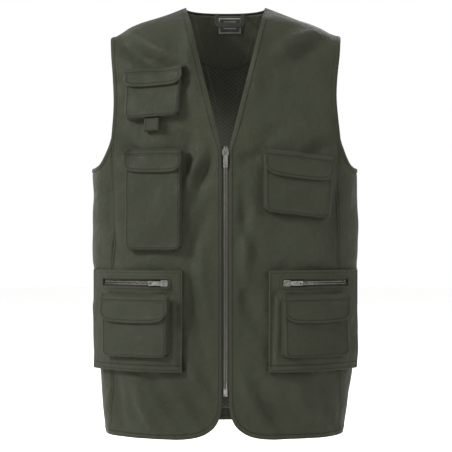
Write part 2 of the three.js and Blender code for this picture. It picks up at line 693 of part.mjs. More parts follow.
// ---------- Pockets ----------
// A pocket's place turns across, up and out distances into a point, and knows how far out the cloth under it
// is. Its mouth may slope while its sides hang plumb.
function bodyPlace(x, top, height, tilt) {
  const middle = onBody(x, top + height / 2, -1);
  const out = bodyNormal(middle);
  const level = upwards.clone().cross(out).normalize();
  const up = out.clone().cross(level);
  const across = level.clone().applyAxisAngle(out, THREE.MathUtils.degToRad(tilt));
  const at = (u, v, w) =>
    middle.clone().addScaledVector(across, u).addScaledVector(up, v + height / 2).addScaledVector(out, w);
  const under = (u, v) => rayToBody(at(u, v, -60), out, 120) - 60;
  return { at, under, up, out };
}

// Pouch: a front with side and bottom gussets, sewn down round three sides and open at the top, or closed
// there too. Its columns run up one gusset, across the front and down the other; front gives its face at
// (u, v).
const pouchEdge = 2.5;
function pouchLayer(place, width, height, front, closedTop, cols, inset) {
  const half = width / 2;
  const middle = steps(-half + pouchEdge, half - pouchEdge, cols).map((u) => [u, 1]);
  const columns = [[-half, 0], [-half, 0.8], ...middle, [half, 0.8], [half, 0]];
  const top = closedTop ? [[0, 0], [0, 0.75], [-pouchEdge, 1]] : [[0, 1]];
  const body = [[-0.3 * height, 1], [-0.65 * height, 1]];
  const bottom = [[-height + pouchEdge, 1], [-height, 0.75], [-height, 0]];
  const shrink = (half - inset) / half;
  return grid([...top, ...body, ...bottom], columns, ([u0, d], [v0, k]) => {
    const u = u0 * shrink;
    const v = closedTop ? v0 * (1 - (2 * inset) / height) - inset : Math.max(v0, -height + inset);
    const base = place.under(u, v) + layerGap;
    return place.at(u, v, base + (front(u, v) - inset - base) * d * k);
  });
}

function pouch(place, width, height, front, closedTop = false, cols = 4) {
  const outside = pouchLayer(place, width, height, front, closedTop, cols, 0);
  return shell(outside, pouchLayer(place, width, height, front, closedTop, cols, cloth));
}

// Flap: starts just off the cloth above the mouth, steps out over it and hangs down in front of the pouch.
const flapStart = 1.2;
function flapSheet(place, width, flap, front, cols) {
  const half = width / 2 + flapOverhang;
  const outline = (u) => {
    const share = Math.abs(u) / half;
    return flap * (1 - 0.08 * share ** 2 - 0.4 * share ** 9);
  };
  const layer = (thick) => grid([1, 0, -0.5, -1], steps(-half, half, cols), (u, v) => {
    if (v === 1) return place.at(u, flapRise + 0.2 * thick, flapStart + thick);
    const down = v === 0 ? 1.5 + 0.6 * thick : v * outline(u);
    return place.at(u, down, front(u, Math.min(0, down)) + flapGap + thick);
  });
  return shell(layer(flapThick), layer(0));
}

// Hook-and-loop tape between the flap and the pouch, as a strip between two heights over the pouch's front.
function fastenerStrip(place, width, flap, front, low, high) {
  const top = -0.3 * flap;
  const columns = steps(-0.3 * width, 0.3 * width, 4);
  const layer = (w) => grid([top, top - fastenerTape], columns, (u, v) => place.at(u, v, front(u, v) + w));
  return shell(layer(high), layer(low));
}

function flappedPouch(name, place, width, height, flap, front, cols) {
  const eighth = flapGap / 8;
  piece(`${name}_pouch`, pouch(place, width, height, front, false, cols), shellCloth);
  piece(`${name}_flap`, flapSheet(place, width, flap, front, cols + 2), shellCloth);
  const strip = (low, high) => fastenerStrip(place, width, flap, front, low * eighth, high * eighth);
  piece(`${name}_loop_tape`, strip(1, 3.5), fastener);
  piece(`${name}_hook_tape`, strip(4.5, 7), fastener);
}

for (const p of chestPockets) {
  const place = bodyPlace(p.x, p.top, p.height, p.tilt);
  const front = (u, v) => pouchMouth + ((pouchDepth - pouchMouth) * -v) / p.height;
  flappedPouch(p.name, place, p.width, p.height, p.flap, front, 4);
}

// Tool loop: a tape folded double under the upper chest pouch, open from side to side.
const tabPocket = chestPockets[0];
const tabPlace = bodyPlace(tabPocket.x, tabPocket.top, tabPocket.height, tabPocket.tilt);
function toolLoop() {
  const wall = 1.2;
  const outerHalf = tabLoopThick / 2 + wall;
  const racetrack = (half, bottom, top, Kind) => {
    const track = new Kind();
    track.moveTo(half, top);
    track.lineTo(-half, top);
    track.lineTo(-half, bottom + half);
    track.absarc(0, bottom + half, half, Math.PI, 2 * Math.PI);
    track.lineTo(half, top);
    return track;
  };
  const shape = racetrack(outerHalf, -tabHeight, 0, THREE.Shape);
  shape.holes.push(racetrack(tabLoopThick / 2, -tabHeight + wall, -2.5, THREE.Path));
  return new THREE.ExtrudeGeometry(shape, { depth: tabWidth, bevelEnabled: false, curveSegments: 6 })
    .translate(0, 0, -tabWidth / 2).rotateX(Math.PI / 2).rotateZ(Math.PI / 2);
}
const tool = piece('tool_loop', toolLoop(), trimCloth);
const tabTop = -tabPocket.height - layerGap - 0.4;
const tabOut = tabPlace.under(0, tabTop) + layerGap + tabLoopThick / 2 + 1.6;
stand(tool, tabPlace.at(0, tabTop, tabOut), tabPlace.out, tabPlace.up);

// ---------- Hip pockets: the bag's front is an upright cylinder, so that its zip runs on an arc ----------
const bagTop = bodyLength - bagTopAboveHem;
const bagMiddleDrop = bagTop + bagHeight / 2;
const bagMiddle = (bagInner + bagOuter) / 2 + 5;

// Circle in plan through three points that stand off the body by the bag's depths.
function bagCircle() {
  const standsOff = (x, i) => lifted(onBody(x, bagMiddleDrop, -1), bagDepth[i]);
  const [p, q, r] = [bagInner, bagMiddle, bagOuter].map(standsOff);
  const a = q.clone().sub(p);
  const b = r.clone().sub(p);
  const aa = a.x * a.x + a.y * a.y;
  const bb = b.x * b.x + b.y * b.y;
  const area = 2 * (a.x * b.y - a.y * b.x);
  const x = p.x + (b.y * aa - a.y * bb) / area;
  const y = p.y + (a.x * bb - b.x * aa) / area;
  const angle = (point) => Math.atan2(point.x - x, y - point.y);
  return { x, y, radius: Math.hypot(p.x - x, p.y - y), first: angle(p), last: angle(r) };
}
const bag = bagCircle();
const degrees = THREE.MathUtils.degToRad;

for (const { name, s } of wearerSides) {
  const radial = (angle) => new THREE.Vector3(s * Math.sin(angle), -Math.cos(angle), 0);
  const centre = (drop) => new THREE.Vector3(s * bag.x, bag.y, -drop);
  const onBag = (angle, drop, w) => centre(drop).addScaledVector(radial(angle), bag.radius + w);
  const middleAngle = (bag.first + bag.last) / 2;
  const bagWidth = (bag.last - bag.first) * bag.radius;

  const bagPlace = {
    at: (u, v, w) => onBag(middleAngle + u / bag.radius, bagTop - v, w),
    under: (u, v) => {
      const outward = radial(middleAngle + u / bag.radius);
      return rayToBody(centre(bagTop - v), outward, 1.5 * bag.radius) - bag.radius;
    },
  };
  const slitDrop = bagTop + slitDropInBag;
  const slitFrom = degrees(slitStart);
  const slitTo = degrees(slitEnd);
  const slitRun = (slitTo - slitFrom) * bag.radius;
  // Along the zip from its closed end, across it, and lifted off the bag.
  const hipTrack = (a, b, w) => onBag(slitFrom + a / bag.radius, slitDrop - b, w);

  const slitRows = steps(0, slitRun, 10);
  const slitCols = [-slitHeight / 2, slitHeight / 2];
  const slitLayer = (w) => grid(slitRows, slitCols, (b, a) => hipTrack(a, b, w));
  const slit = shell(slitLayer(3), slitLayer(-cloth - 3));
  // Welt: a flat frame of cloth sewn round the slit.
  const weltLoop = [];
  for (const [side, from, to] of [[1, -1, 1], [-1, 1, -1]]) {
    for (const t of steps(from, to, 9)) weltLoop.push([t, side]);
  }
  const weltLayer = (w) => weltLoop.map(([t, side]) => [0, weltWidth].map((reach) => {
    const endward = Math.abs(t) === 1 ? t * reach : 0;
    return hipTrack(slitRun / 2 + (t * slitRun) / 2 + endward, side * (slitHeight / 2 + reach), w);
  }));
  const welt = shell(weltLayer(weltThick), weltLayer(-cloth / 2), true);
  const bagCloth = pouch(bagPlace, bagWidth, bagHeight, () => 0, true, 12);
  piece(`${name}_hip_bag`, cut(join([bagCloth, welt]), [slit]), shellCloth);

  for (const [part, side] of [['upper', 1], ['lower', -1]]) {
    piece(`${name}_hip_zip_${part}_tape`, tapeStrip(-5, slitRun + 5, side, 9, 12, hipTrack), tapeCloth);
    piece(`${name}_hip_zip_${part}_teeth`, teethRow(1.5, slitRun - 1.5, side, hipTrack), nickel);
  }
  const parked = sliderLength / 2 + 0.8;
  const sliderAngle = slitFrom + parked / bag.radius;
  const sliderAt = hipTrack(parked, 0, chainLift);
  const out = radial(sliderAngle);
  const inward = new THREE.Vector3(-s * Math.cos(sliderAngle), -Math.sin(sliderAngle), 0);
  stand(piece(`${name}_hip_zip_slider`, sliderBody(), nickel), sliderAt, out, inward);
  const pullAt = sliderAt.clone().addScaledVector(out, hingeOut);
  stand(piece(`${name}_hip_zip_pull`, pullTab(), nickel), pullAt, out, inward);

  // The flapped pouch on the bag.
  const pouchAngle = degrees(hipPouchAngle);
  const mouthDrop = bagTop + hipPouchFromTop;
  const across = new THREE.Vector3(Math.cos(pouchAngle), s * Math.sin(pouchAngle), 0);
  const place = {
    at: (u, v, w) => onBag(pouchAngle, mouthDrop - v, w).addScaledVector(across, u),
    under: (u) => Math.sqrt(bag.radius ** 2 - u ** 2) - bag.radius,
  };
  const front = (u, v) => hipMouth + (hipSwell * -v) / hipPouchHeight - u ** 2 / (2 * hipPouchBow);
  flappedPouch(`${name}_hip`, place, hipPouchWidth, hipPouchHeight, hipFlap, front, 6);
}

export default vest;
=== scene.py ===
"""Looks of the fishing vest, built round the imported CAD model.

Lengths are in millimetres until a mesh is made. The front faces -Y and the wearer's left is +X. A "drop" is a
distance below the neck, and every piece of cloth lies on, or stands off, one body surface.
"""

import math

import bpy
import numpy as np
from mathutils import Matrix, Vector, kdtree, noise


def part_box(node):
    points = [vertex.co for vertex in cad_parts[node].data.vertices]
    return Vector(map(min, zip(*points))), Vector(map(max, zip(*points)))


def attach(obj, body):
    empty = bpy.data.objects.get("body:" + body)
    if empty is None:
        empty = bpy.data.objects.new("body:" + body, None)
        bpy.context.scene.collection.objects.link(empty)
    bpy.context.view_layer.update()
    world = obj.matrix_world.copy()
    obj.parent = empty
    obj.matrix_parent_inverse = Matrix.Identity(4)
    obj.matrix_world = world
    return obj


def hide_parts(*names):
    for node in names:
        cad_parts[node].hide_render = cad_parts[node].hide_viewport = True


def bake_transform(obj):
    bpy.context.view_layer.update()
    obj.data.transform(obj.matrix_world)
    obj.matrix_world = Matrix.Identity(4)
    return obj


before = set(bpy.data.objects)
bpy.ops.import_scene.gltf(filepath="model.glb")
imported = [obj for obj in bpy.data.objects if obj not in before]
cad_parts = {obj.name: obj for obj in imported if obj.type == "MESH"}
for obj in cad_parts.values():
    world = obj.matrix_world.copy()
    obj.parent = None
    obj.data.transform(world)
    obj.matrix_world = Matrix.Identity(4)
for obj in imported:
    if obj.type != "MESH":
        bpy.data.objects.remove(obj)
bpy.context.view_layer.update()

# ---------- Dimensions, as in the CAD part ----------
BODY_LENGTH = 739
CLOTH = 1.8
THIN = 0.9
LAYER_GAP = 0.6
LINING_GAP = 1.8
SEAM_GAP = 0.0
NECK_HALF = 70
SHOULDER_HALF = 200
SHOULDER_DROP = 53
UNDERARM_DROP = 283
CHEST_HALF = 231
CHEST_DEPTH = 122
HEM_HALF = 209
HIP_DROP = BODY_LENGTH - 115
ARMHOLE_HALF = 190
ARMHOLE_WAIST_DROP = 157
BINDING = 6
SIDE_SEAM = 193
V_BOTTOM = 253
ZIP_LENGTH = 412
ZIP_END = V_BOTTOM + ZIP_LENGTH
FRONT_EDGE = 6.1
HEM_CORNER = 90
POWER = 2.4
SLOPE = (SHOULDER_HALF - NECK_HALF) / SHOULDER_DROP
TAPE_TOP = -CLOTH - LAYER_GAP
TAPE_BOTTOM = TAPE_TOP - THIN
CHAIN_LIFT = (TAPE_TOP + TAPE_BOTTOM) / 2
TOOTH_PITCH = 3.6
FLAP_RISE = 8
FLAP_GAP = 2.4
FLAP_START = 1.2

HALF = [
    (0, NECK_HALF, SLOPE), (53, SHOULDER_HALF, SLOPE), (100, 243, 0), (UNDERARM_DROP, CHEST_HALF, 0),
    (HIP_DROP, 221, -0.08), (BODY_LENGTH, HEM_HALF, -0.12),
]
FRONT = [
    (0, 9, 3), (53, 0.66 * CHEST_DEPTH, 0.6), (106, 0.84 * CHEST_DEPTH, 0.25),
    (V_BOTTOM - 20, CHEST_DEPTH, 0),
    (ZIP_END, CHEST_DEPTH, 0), (BODY_LENGTH, 118, -0.08),
]
BACK = [
    (0, 62, 1.1), (53, 0.83 * CHEST_DEPTH, 0.4), (ARMHOLE_WAIST_DROP, CHEST_DEPTH + 2, 0),
    (0.54 * BODY_LENGTH, CHEST_DEPTH - 5, 0), (BODY_LENGTH, 120, 0),
]
SIDES = (("right", -1), ("left", 1))


# ---------- Body surface ----------
def along(stations, drop):
    """Smooth curve through (drop, value, slope) stations, straight beyond the ends."""
    table = np.array(stations, float)
    drop = np.asarray(drop, float)
    i = np.clip(np.searchsorted(table[:, 0], drop, side="left") - 1, 0, len(table) - 2)
    d0, v0, m0 = table[i, 0], table[i, 1], table[i, 2]
    d1, v1, m1 = table[i + 1, 0], table[i + 1, 1], table[i + 1, 2]
    span = d1 - d0
    t = np.clip((drop - d0) / span, 0, 1)
    s = 1 - t
    value = v0 * (1 + 2 * t) * s * s + v1 * (1 + 2 * s) * t * t + span * t * s * (m0 * s - m1 * t)
    value = value + np.minimum(drop - table[0, 0], 0) * table[0, 2]
    return value + np.maximum(drop - table[-1, 0], 0) * table[-1, 2]


def half_at(drop):
    return along(HALF, drop)


def depth_at(drop, front):
    return np.where(front, along(FRONT, drop), along(BACK, drop))


def on_body(x, drop, side):
    """Point of the body surface; side is -1 for the front and 1 for the back."""
    x, drop, side = np.broadcast_arrays(np.asarray(x, float), np.asarray(drop, float),
                                        np.asarray(side, float))
    share = np.minimum(1, np.abs(x) / half_at(drop))
    y = side * depth_at(drop, side < 0) * (1 - share**POWER) ** (1 / POWER)
    return np.stack([x, y, -drop], axis=-1)


def body_value(p):
    x, y, z = p[..., 0], p[..., 1], p[..., 2]
    return (np.abs(x) / half_at(-z)) ** POWER + (np.abs(y) / depth_at(-z, y < 0)) ** POWER - 1


def body_normal(p):
    x, y, z = p[..., 0], p[..., 1], p[..., 2]
    half, depth = half_at(-z), depth_at(-z, y < 0)
    fx = POWER * np.sign(x) * np.abs(x) ** (POWER - 1) / half**POWER
    fy = POWER * np.sign(y) * np.abs(y) ** (POWER - 1) / depth**POWER
    up = np.array([0, 0, 0.5])
    n = np.stack([fx, fy, body_value(p + up) - body_value(p - up)], axis=-1)
    return n / np.linalg.norm(n, axis=-1, keepdims=True)


def lifted(p, lift):
    return p + body_normal(p) * np.asarray(lift, float)[..., None]


def ray_to_body(start, direction, far):
    """Distance from points inside the body to its surface, along a direction."""
    inside = np.zeros(start.shape[:-1])
    outside = np.full(start.shape[:-1], float(far))
    for _ in range(26):
        middle = (inside + outside) / 2
        within = body_value(start + direction * middle[..., None]) < 0
        inside = np.where(within, middle, inside)
        outside = np.where(within, outside, middle)
    return inside


# ---------- Soft folds: one field that every layer of cloth follows ----------
# Each fold: x and drop at one end, x and drop at the other, half width, height; negative is a dent.
FRONT_FOLDS = [
    (-172, 70, -112, 112, 16, -4.5), (-150, 60, -80, 100, 13, 3.0), (-60, 60, -52, 150, 12, 2.2),
    (170, 66, 112, 108, 16, -4.0), (148, 58, 78, 98, 13, 3.0), (62, 70, 50, 160, 12, 2.0),
    (-20, 268, -48, 330, 10, -3.6), (-34, 262, -66, 318, 9, 2.8), (-30, 360, -56, 440, 12, -2.6),
    (-42, 420, -30, 520, 12, 2.2), (-58, 236, -64, 300, 10, -2.2),
    (24, 272, 56, 262, 9, -2.4), (26, 330, 50, 420, 12, -2.8), (44, 380, 34, 470, 11, 2.6),
    (30, 480, 60, 560, 12, -2.4), (-60, 480, -34, 590, 11, -2.6), (-66, 600, -30, 660, 10, 2.6),
    (-120, 640, -70, 715, 12, -3.2), (-150, 650, -118, 722, 10, 2.8), (-60, 668, -28, 716, 9, -2.4),
    (60, 655, 96, 722, 11, -3.2), (120, 648, 150, 716, 12, 3.0), (30, 640, 62, 700, 10, 2.4),
    (160, 655, 186, 720, 10, -2.6), (-186, 640, -176, 715, 9, -2.6),
    (-176, 240, -150, 262, 10, -3.0), (176, 244, 140, 262, 10, -3.0),
    (-100, 214, -60, 244, 10, -2.2), (100, 214, 62, 240, 10, -2.2),
    (-196, 300, -182, 440, 9, -2.6), (196, 300, 184, 440, 9, -2.6),
]
BACK_FOLDS = [
    (-170, 90, -80, 190, 20, -5.0), (170, 96, 84, 200, 20, -5.0), (-60, 130, -40, 260, 22, 3.5),
    (66, 140, 30, 300, 22, 3.0), (-150, 260, -40, 330, 16, -4.0), (150, 268, 36, 340, 16, -4.0),
    (-120, 360, -90, 560, 24, 4.0), (110, 380, 80, 590, 24, 4.0), (0, 330, 8, 600, 26, -4.0),
    (-60, 560, -70, 735, 20, -4.0), (62, 580, 70, 735, 20, -4.0), (-150, 540, -140, 735, 18, 3.5),
    (146, 560, 150, 735, 18, 3.5), (0, 640, 4, 735, 20, 3.5),
]


FOLD_SCALE = 3.0


def fold_sum(x, drop, folds):
    total = np.zeros(np.shape(x))
    for x0, d0, x1, d1, width, height in folds:
        run = math.hypot(x1 - x0, d1 - d0)
        ux, ud = (x1 - x0) / run, (d1 - d0) / run
        t = (x - x0) * ux + (drop - d0) * ud
        bend = 0.06 * run * np.sin(np.pi * np.clip(t / run, 0, 1))
        side = -(x - x0) * ud + (drop - d0) * ux - bend
        beyond = np.maximum(np.abs(t - run / 2) - run / 2, 0)
        swell = 0.55 + 0.45 * np.sin(np.pi * np.clip(t / run, 0, 1))
        total += height * swell * np.exp(-((side / width) ** 2) - (beyond / (1.6 * width)) ** 2)
    return total


def waves(p, size, seed):
    """Smooth noise of about the given size, one value per point."""
    flat = p.reshape(-1, 3) / size + seed
    return np.array([noise.noise(Vector(v)) for v in flat]).reshape(p.shape[:-1])


def smooth(t):
    t = np.clip(t, 0, 1)
    return t * t * (3 - 2 * t)


def calm(p):
    """0 where the cloth has to stay on its metal zip, 1 away from it."""
    x, y, z = p[..., 0], p[..., 1], p[..., 2]
    main = smooth((np.abs(x) - 15) / 16) + (z > -226) * smooth((z + 240) / 20) * (y < 0)
    main = np.where(y < 0, np.minimum(main, 1), 1)
    hip_band = smooth((np.abs(z + 481) - 24) / 14)
    reach = smooth((68 - np.abs(x)) / 10)
    hips = np.where(y < 40, np.maximum(hip_band, reach), 1)
    neck = smooth(-z / 26)
    return main * hips * neck


def settle(p):
    """Moves points of any layer along the body's normal, by the folds of the cloth there."""
    x, y, z = p[..., 0], p[..., 1], p[..., 2]
    front_share = smooth((25 - y) / 50)
    lift = front_share * FOLD_SCALE * fold_sum(x, -z, FRONT_FOLDS) + (1 - front_share) * fold_sum(x, -z,
                                                                                                  BACK_FOLDS)
    lift = lift + 4.0 * waves(p, 95, 3.1) + 1.7 * waves(p, 38, 7.7)
    return p + body_normal(p) * (lift * calm(p))[..., None]


# ---------- Meshes ----------
def make(name, points, faces, slot_name, material, body, replaces=(), edge=None, smooth_faces=True):
    mesh = bpy.data.meshes.new(name)
    mesh.from_pydata((np.asarray(points).reshape(-1, 3) / 1000).tolist(), [], faces)
    mesh.validate()
    obj = bpy.data.objects.new(name, mesh)
    bpy.context.scene.collection.objects.link(obj)
    mesh.shade_smooth() if smooth_faces else mesh.shade_flat()
    if edge is not None:
        layer = mesh.attributes.new("edge_mm", "FLOAT", "POINT")
        layer.data.foreach_set("value", np.asarray(edge, float).ravel())
    mesh.materials.append(material)
    if body:
        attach(obj, body)
    if replaces:
        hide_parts(*replaces)
    return obj


def grid_normals(g):
    du = np.gradient(g, axis=1)
    dv = np.gradient(g, axis=0)
    n = np.cross(du, dv)
    return n / np.maximum(np.linalg.norm(n, axis=-1, keepdims=True), 1e-9)


def shell_faces(rows, cols, loop=False, holes=()):
    """Quads of a closed shell between two grids, outer first, with walls at the rims and round holes."""
    count = rows * cols
    at = lambda layer, r, c: layer * count + (r % rows) * cols + c
    last = rows if loop else rows - 1
    solid = np.ones((last, cols - 1), bool)
    for r0, r1, c0, c1 in holes:
        solid[r0:r1, c0:c1] = False
    faces = []
    for r in range(last):
        for c in range(cols - 1):
            if not solid[r, c]:
                continue
            faces.append((at(0, r, c), at(0, r + 1, c), at(0, r + 1, c + 1), at(0, r, c + 1)))
            faces.append((at(1, r, c), at(1, r, c + 1), at(1, r + 1, c + 1), at(1, r + 1, c)))
            if c == 0 or not solid[r, c - 1]:
                faces.append((at(0, r, c), at(1, r, c), at(1, r + 1, c), at(0, r + 1, c)))
            if c == cols - 2 or not solid[r, c + 1]:
                faces.append((at(0, r, c + 1), at(0, r + 1, c + 1), at(1, r + 1, c + 1), at(1, r, c + 1)))
            if (r == 0 and not loop) or not solid[r - 1, c]:
                faces.append((at(0, r, c), at(0, r, c + 1), at(1, r, c + 1), at(1, r, c)))
            if (r == last - 1 and not loop) or not solid[(r + 1) % last, c]:
                faces.append((at(0, r + 1, c), at(1, r + 1, c), at(1, r + 1, c + 1), at(0, r + 1, c + 1)))
    return faces


def rim_distance(g, loop=False, skip=()):
    """Distance of each grid point to the nearest rim, in mm, measured along the rows and columns."""
    across = np.linalg.norm(np.diff(g, axis=1), axis=-1)
    left = np.concatenate([np.zeros((len(g), 1)), np.cumsum(across, axis=1)], axis=1)
    down = np.linalg.norm(np.diff(g, axis=0), axis=-1)
    top = np.concatenate([np.zeros((1, g.shape[1])), np.cumsum(down, axis=0)], axis=0)
    options = {"left": left, "right": left[:, -1:] - left, "top": top, "bottom": top[-1:] - top}
    wanted = [v for k, v in options.items() if k not in skip and not (loop and k in ("top", "bottom"))]
    return np.minimum.reduce(wanted) if wanted else np.full(g.shape[:2], 99.0)


def cloth(name, g, thick, slot_name, material, body="vest", replaces=(), edge=None, normals=None, holes=(),
          loop=False):
    """Closed shell of cloth: g is its outer face, and its rims are rounded over."""
    n = grid_normals(g) if normals is None else normals
    if normals is None:
        facing = body_normal(g)
        if np.sum(n * facing) < 0:
            n = -n
    rim = rim_distance(g, loop)
    r = 0.42 * thick
    over = r * (1 - np.sqrt(np.maximum(0, 1 - (1 - np.clip(rim / (2.2 * r), 0, 1)) ** 2)))
    outer = g - n * over[..., None]
    inner = g - n * (thick - over)[..., None]
    faces = shell_faces(g.shape[0], g.shape[1], loop, holes)
    flat = np.concatenate([outer.reshape(-1, 3), inner.reshape(-1, 3)])
    first = faces[0]
    side = np.cross(flat[first[1]] - flat[first[0]], flat[first[2]] - flat[first[0]])
    if np.dot(side, n.reshape(-1, 3)[first[0]]) < 0:
        faces = [f[::-1] for f in faces]
    attribute = np.full(g.shape[:2], 99.0) if edge is None else edge
    obj = make(name, flat, faces, slot_name, material, body, replaces,
               np.concatenate([attribute.ravel()] * 2))
    return obj, outer, n


def crowd(count, near=(0.35, 1.0, 2.4)):
    """Shares from 0 to 1, evenly spaced, with extra ones near each end; used with a span in mm."""
    def shares(span):
        base = np.linspace(0, 1, count + 1)
        extra = np.array(near) / span
        return np.unique(np.concatenate([base, extra, 1 - extra]))
    return shares


def path_distance(g, path):
    """Distance of each grid point to the nearest point of a path."""
    dense = resample(path, 1.5)
    tree = kdtree.KDTree(len(dense))
    for i, p in enumerate(dense):
        tree.insert(Vector(p), i)
    tree.balance()
    flat = g.reshape(-1, 3)
    return np.array([tree.find(Vector(p))[2] for p in flat]).reshape(g.shape[:-1])


def resample(path, pitch):
    path = np.asarray(path, float)
    run = np.concatenate([[0], np.cumsum(np.linalg.norm(np.diff(path, axis=0), axis=1))])
    count = max(2, int(run[-1] / pitch) + 1)
    at = np.linspace(0, run[-1], count)
    return np.stack([np.interp(at, run, path[:, k]) for k in range(3)], axis=1)


# ---------- Stitching: short thread capsules, gathered per body ----------
seams = {}


def stitch(path, normals, body="vest", pitch=3.4, length=2.5, radius=0.36, sink=0.05):
    """Sews along a path that lies on the cloth's surface; normals point out of the cloth."""
    path = np.asarray(path, float)
    run = np.concatenate([[0], np.cumsum(np.linalg.norm(np.diff(path, axis=0), axis=1))])
    if run[-1] < 2 * pitch:
        return
    middle = np.arange(pitch / 2, run[-1] - pitch / 3, pitch)
    at = lambda v, where: np.stack([np.interp(where, run, v[:, k]) for k in range(3)], axis=1)
    p = at(path, middle)
    t = at(path, middle + length / 2) - at(path, middle - length / 2)
    t /= np.maximum(np.linalg.norm(t, axis=1, keepdims=True), 1e-9)
    n = at(np.asarray(normals, float), middle)
    n -= t * np.sum(n * t, axis=1, keepdims=True)
    n /= np.maximum(np.linalg.norm(n, axis=1, keepdims=True), 1e-9)
    b = np.cross(t, n)
    rings = [(-0.5, 0.0, -0.9), (-0.36, 0.8, -0.1), (0.0, 1.0, 0.25), (0.36, 0.8, -0.1), (0.5, 0.0, -0.9)]
    points = []
    for share, wide, high in rings:
        centre = p + t * (share * length) + n * (radius * high - sink)
        if wide == 0.0:
            points.append(centre[:, None])
            continue
        ring = [centre + radius * wide * (math.cos(a) * b + math.sin(a) * n)
                for a in np.arange(5) * 2 * math.pi / 5]
        points.append(np.stack(ring, axis=1))
    seams.setdefault(body, []).append(np.concatenate(points, axis=1))


def stitch_faces():
    faces = []
    for k in range(5):
        m = (k + 1) % 5
        faces.append((0, 1 + m, 1 + k))
        for ring in (1, 6):
            faces.append((ring + k, ring + m, ring + m + 5, ring + k + 5))
        faces.append((16, 11 + k, 11 + m))
    return faces


# ---------- Materials ----------
class Shader:
    """Small helper that wires one material's nodes."""

    def __init__(self, name):
        self.material = bpy.data.materials.new(name)
        self.material.use_nodes = True
        self.tree = self.material.node_tree
        self.surface = self.tree.nodes["Principled BSDF"]
        self.place = self.tree.nodes.new("ShaderNodeTexCoord").outputs["Object"]

    def wire(self, node, key, value):
        socket = node.inputs[key]
        if isinstance(value, bpy.types.NodeSocket):
            self.tree.links.new(value, socket)
        else:
            socket.default_value = value

    def math(self, kind, *values):
        node = self.tree.nodes.new("ShaderNodeMath")
        node.operation = kind
        for i, value in enumerate(values):
            self.wire(node, i, value)
        return node.outputs[0]

    def total(self, *values):
        result = values[0]
        for value in values[1:]:
            result = self.math("ADD", result, value)
        return result

    def noise(self, scale, detail=2.0, roughness=0.5, stretch=(1, 1, 1)):
        node = self.tree.nodes.new("ShaderNodeTexNoise")
        mapping = self.tree.nodes.new("ShaderNodeMapping")
        self.wire(mapping, "Vector", self.place)
        mapping.inputs["Scale"].default_value = stretch
        self.wire(node, "Vector", mapping.outputs[0])
        node.inputs["Scale"].default_value = scale
        node.inputs["Detail"].default_value = detail
        node.inputs["Roughness"].default_value = roughness
        return node.outputs["Fac"]

    def along_axes(self, direction):
        """Position measured along a direction, in metres."""
        node = self.tree.nodes.new("ShaderNodeVectorMath")
        node.operation = "DOT_PRODUCT"
        self.wire(node, 0, self.place)
        node.inputs[1].default_value = direction
        return node.outputs["Value"]

    def ribs(self, direction, pitch):
        """Ribs across a direction, from 0 in a groove to 1 on a rib."""
        phase = self.math("MULTIPLY", self.along_axes(direction), 2 * math.pi / pitch)
        return self.math("MULTIPLY_ADD", self.math("SINE", phase), 0.5, 0.5)

    def attribute(self, name):
        node = self.tree.nodes.new("ShaderNodeAttribute")
        node.attribute_name = name
        return node.outputs["Fac"]

    def ramp(self, value, low, high, at_low=0.0, at_high=1.0):
        node = self.tree.nodes.new("ShaderNodeMapRange")
        node.interpolation_type = "SMOOTHSTEP"
        for key, number in (("From Min", low), ("From Max", high), ("To Min", at_low), ("To Max", at_high)):
            node.inputs[key].default_value = number
        self.wire(node, "Value", value)
        return node.outputs[0]

    def bell(self, value, middle, width):
        """1 at the middle, fading to 0 a few widths away."""
        offset = self.math("DIVIDE", self.math("SUBTRACT", value, middle), width)
        return self.math("POWER", math.e, self.math("MULTIPLY", self.math("MULTIPLY", offset, offset), -1.0))

    def tint(self, colour, share):
        """The colour, scaled by a value."""
        node = self.tree.nodes.new("ShaderNodeVectorMath")
        node.operation = "SCALE"
        node.inputs[0].default_value = colour
        self.wire(node, "Scale", share)
        return node.outputs[0]

    def finish(self, colour, height=None, roughness=0.7, metallic=0.0, sheen=0.0, sheen_roughness=0.5,
               specular=0.12):
        self.wire(self.surface, "Base Color", colour)
        self.wire(self.surface, "Roughness", roughness)
        self.surface.inputs["Metallic"].default_value = metallic
        self.surface.inputs["Sheen Weight"].default_value = sheen
        self.surface.inputs["Sheen Roughness"].default_value = sheen_roughness
        self.surface.inputs["Specular IOR Level"].default_value = specular
        if height is not None:
            bump = self.tree.nodes.new("ShaderNodeBump")
            bump.inputs["Distance"].default_value = 1.0
            self.wire(bump, "Height", height)
            self.tree.links.new(bump.outputs[0], self.surface.inputs["Normal"])
        return self.material


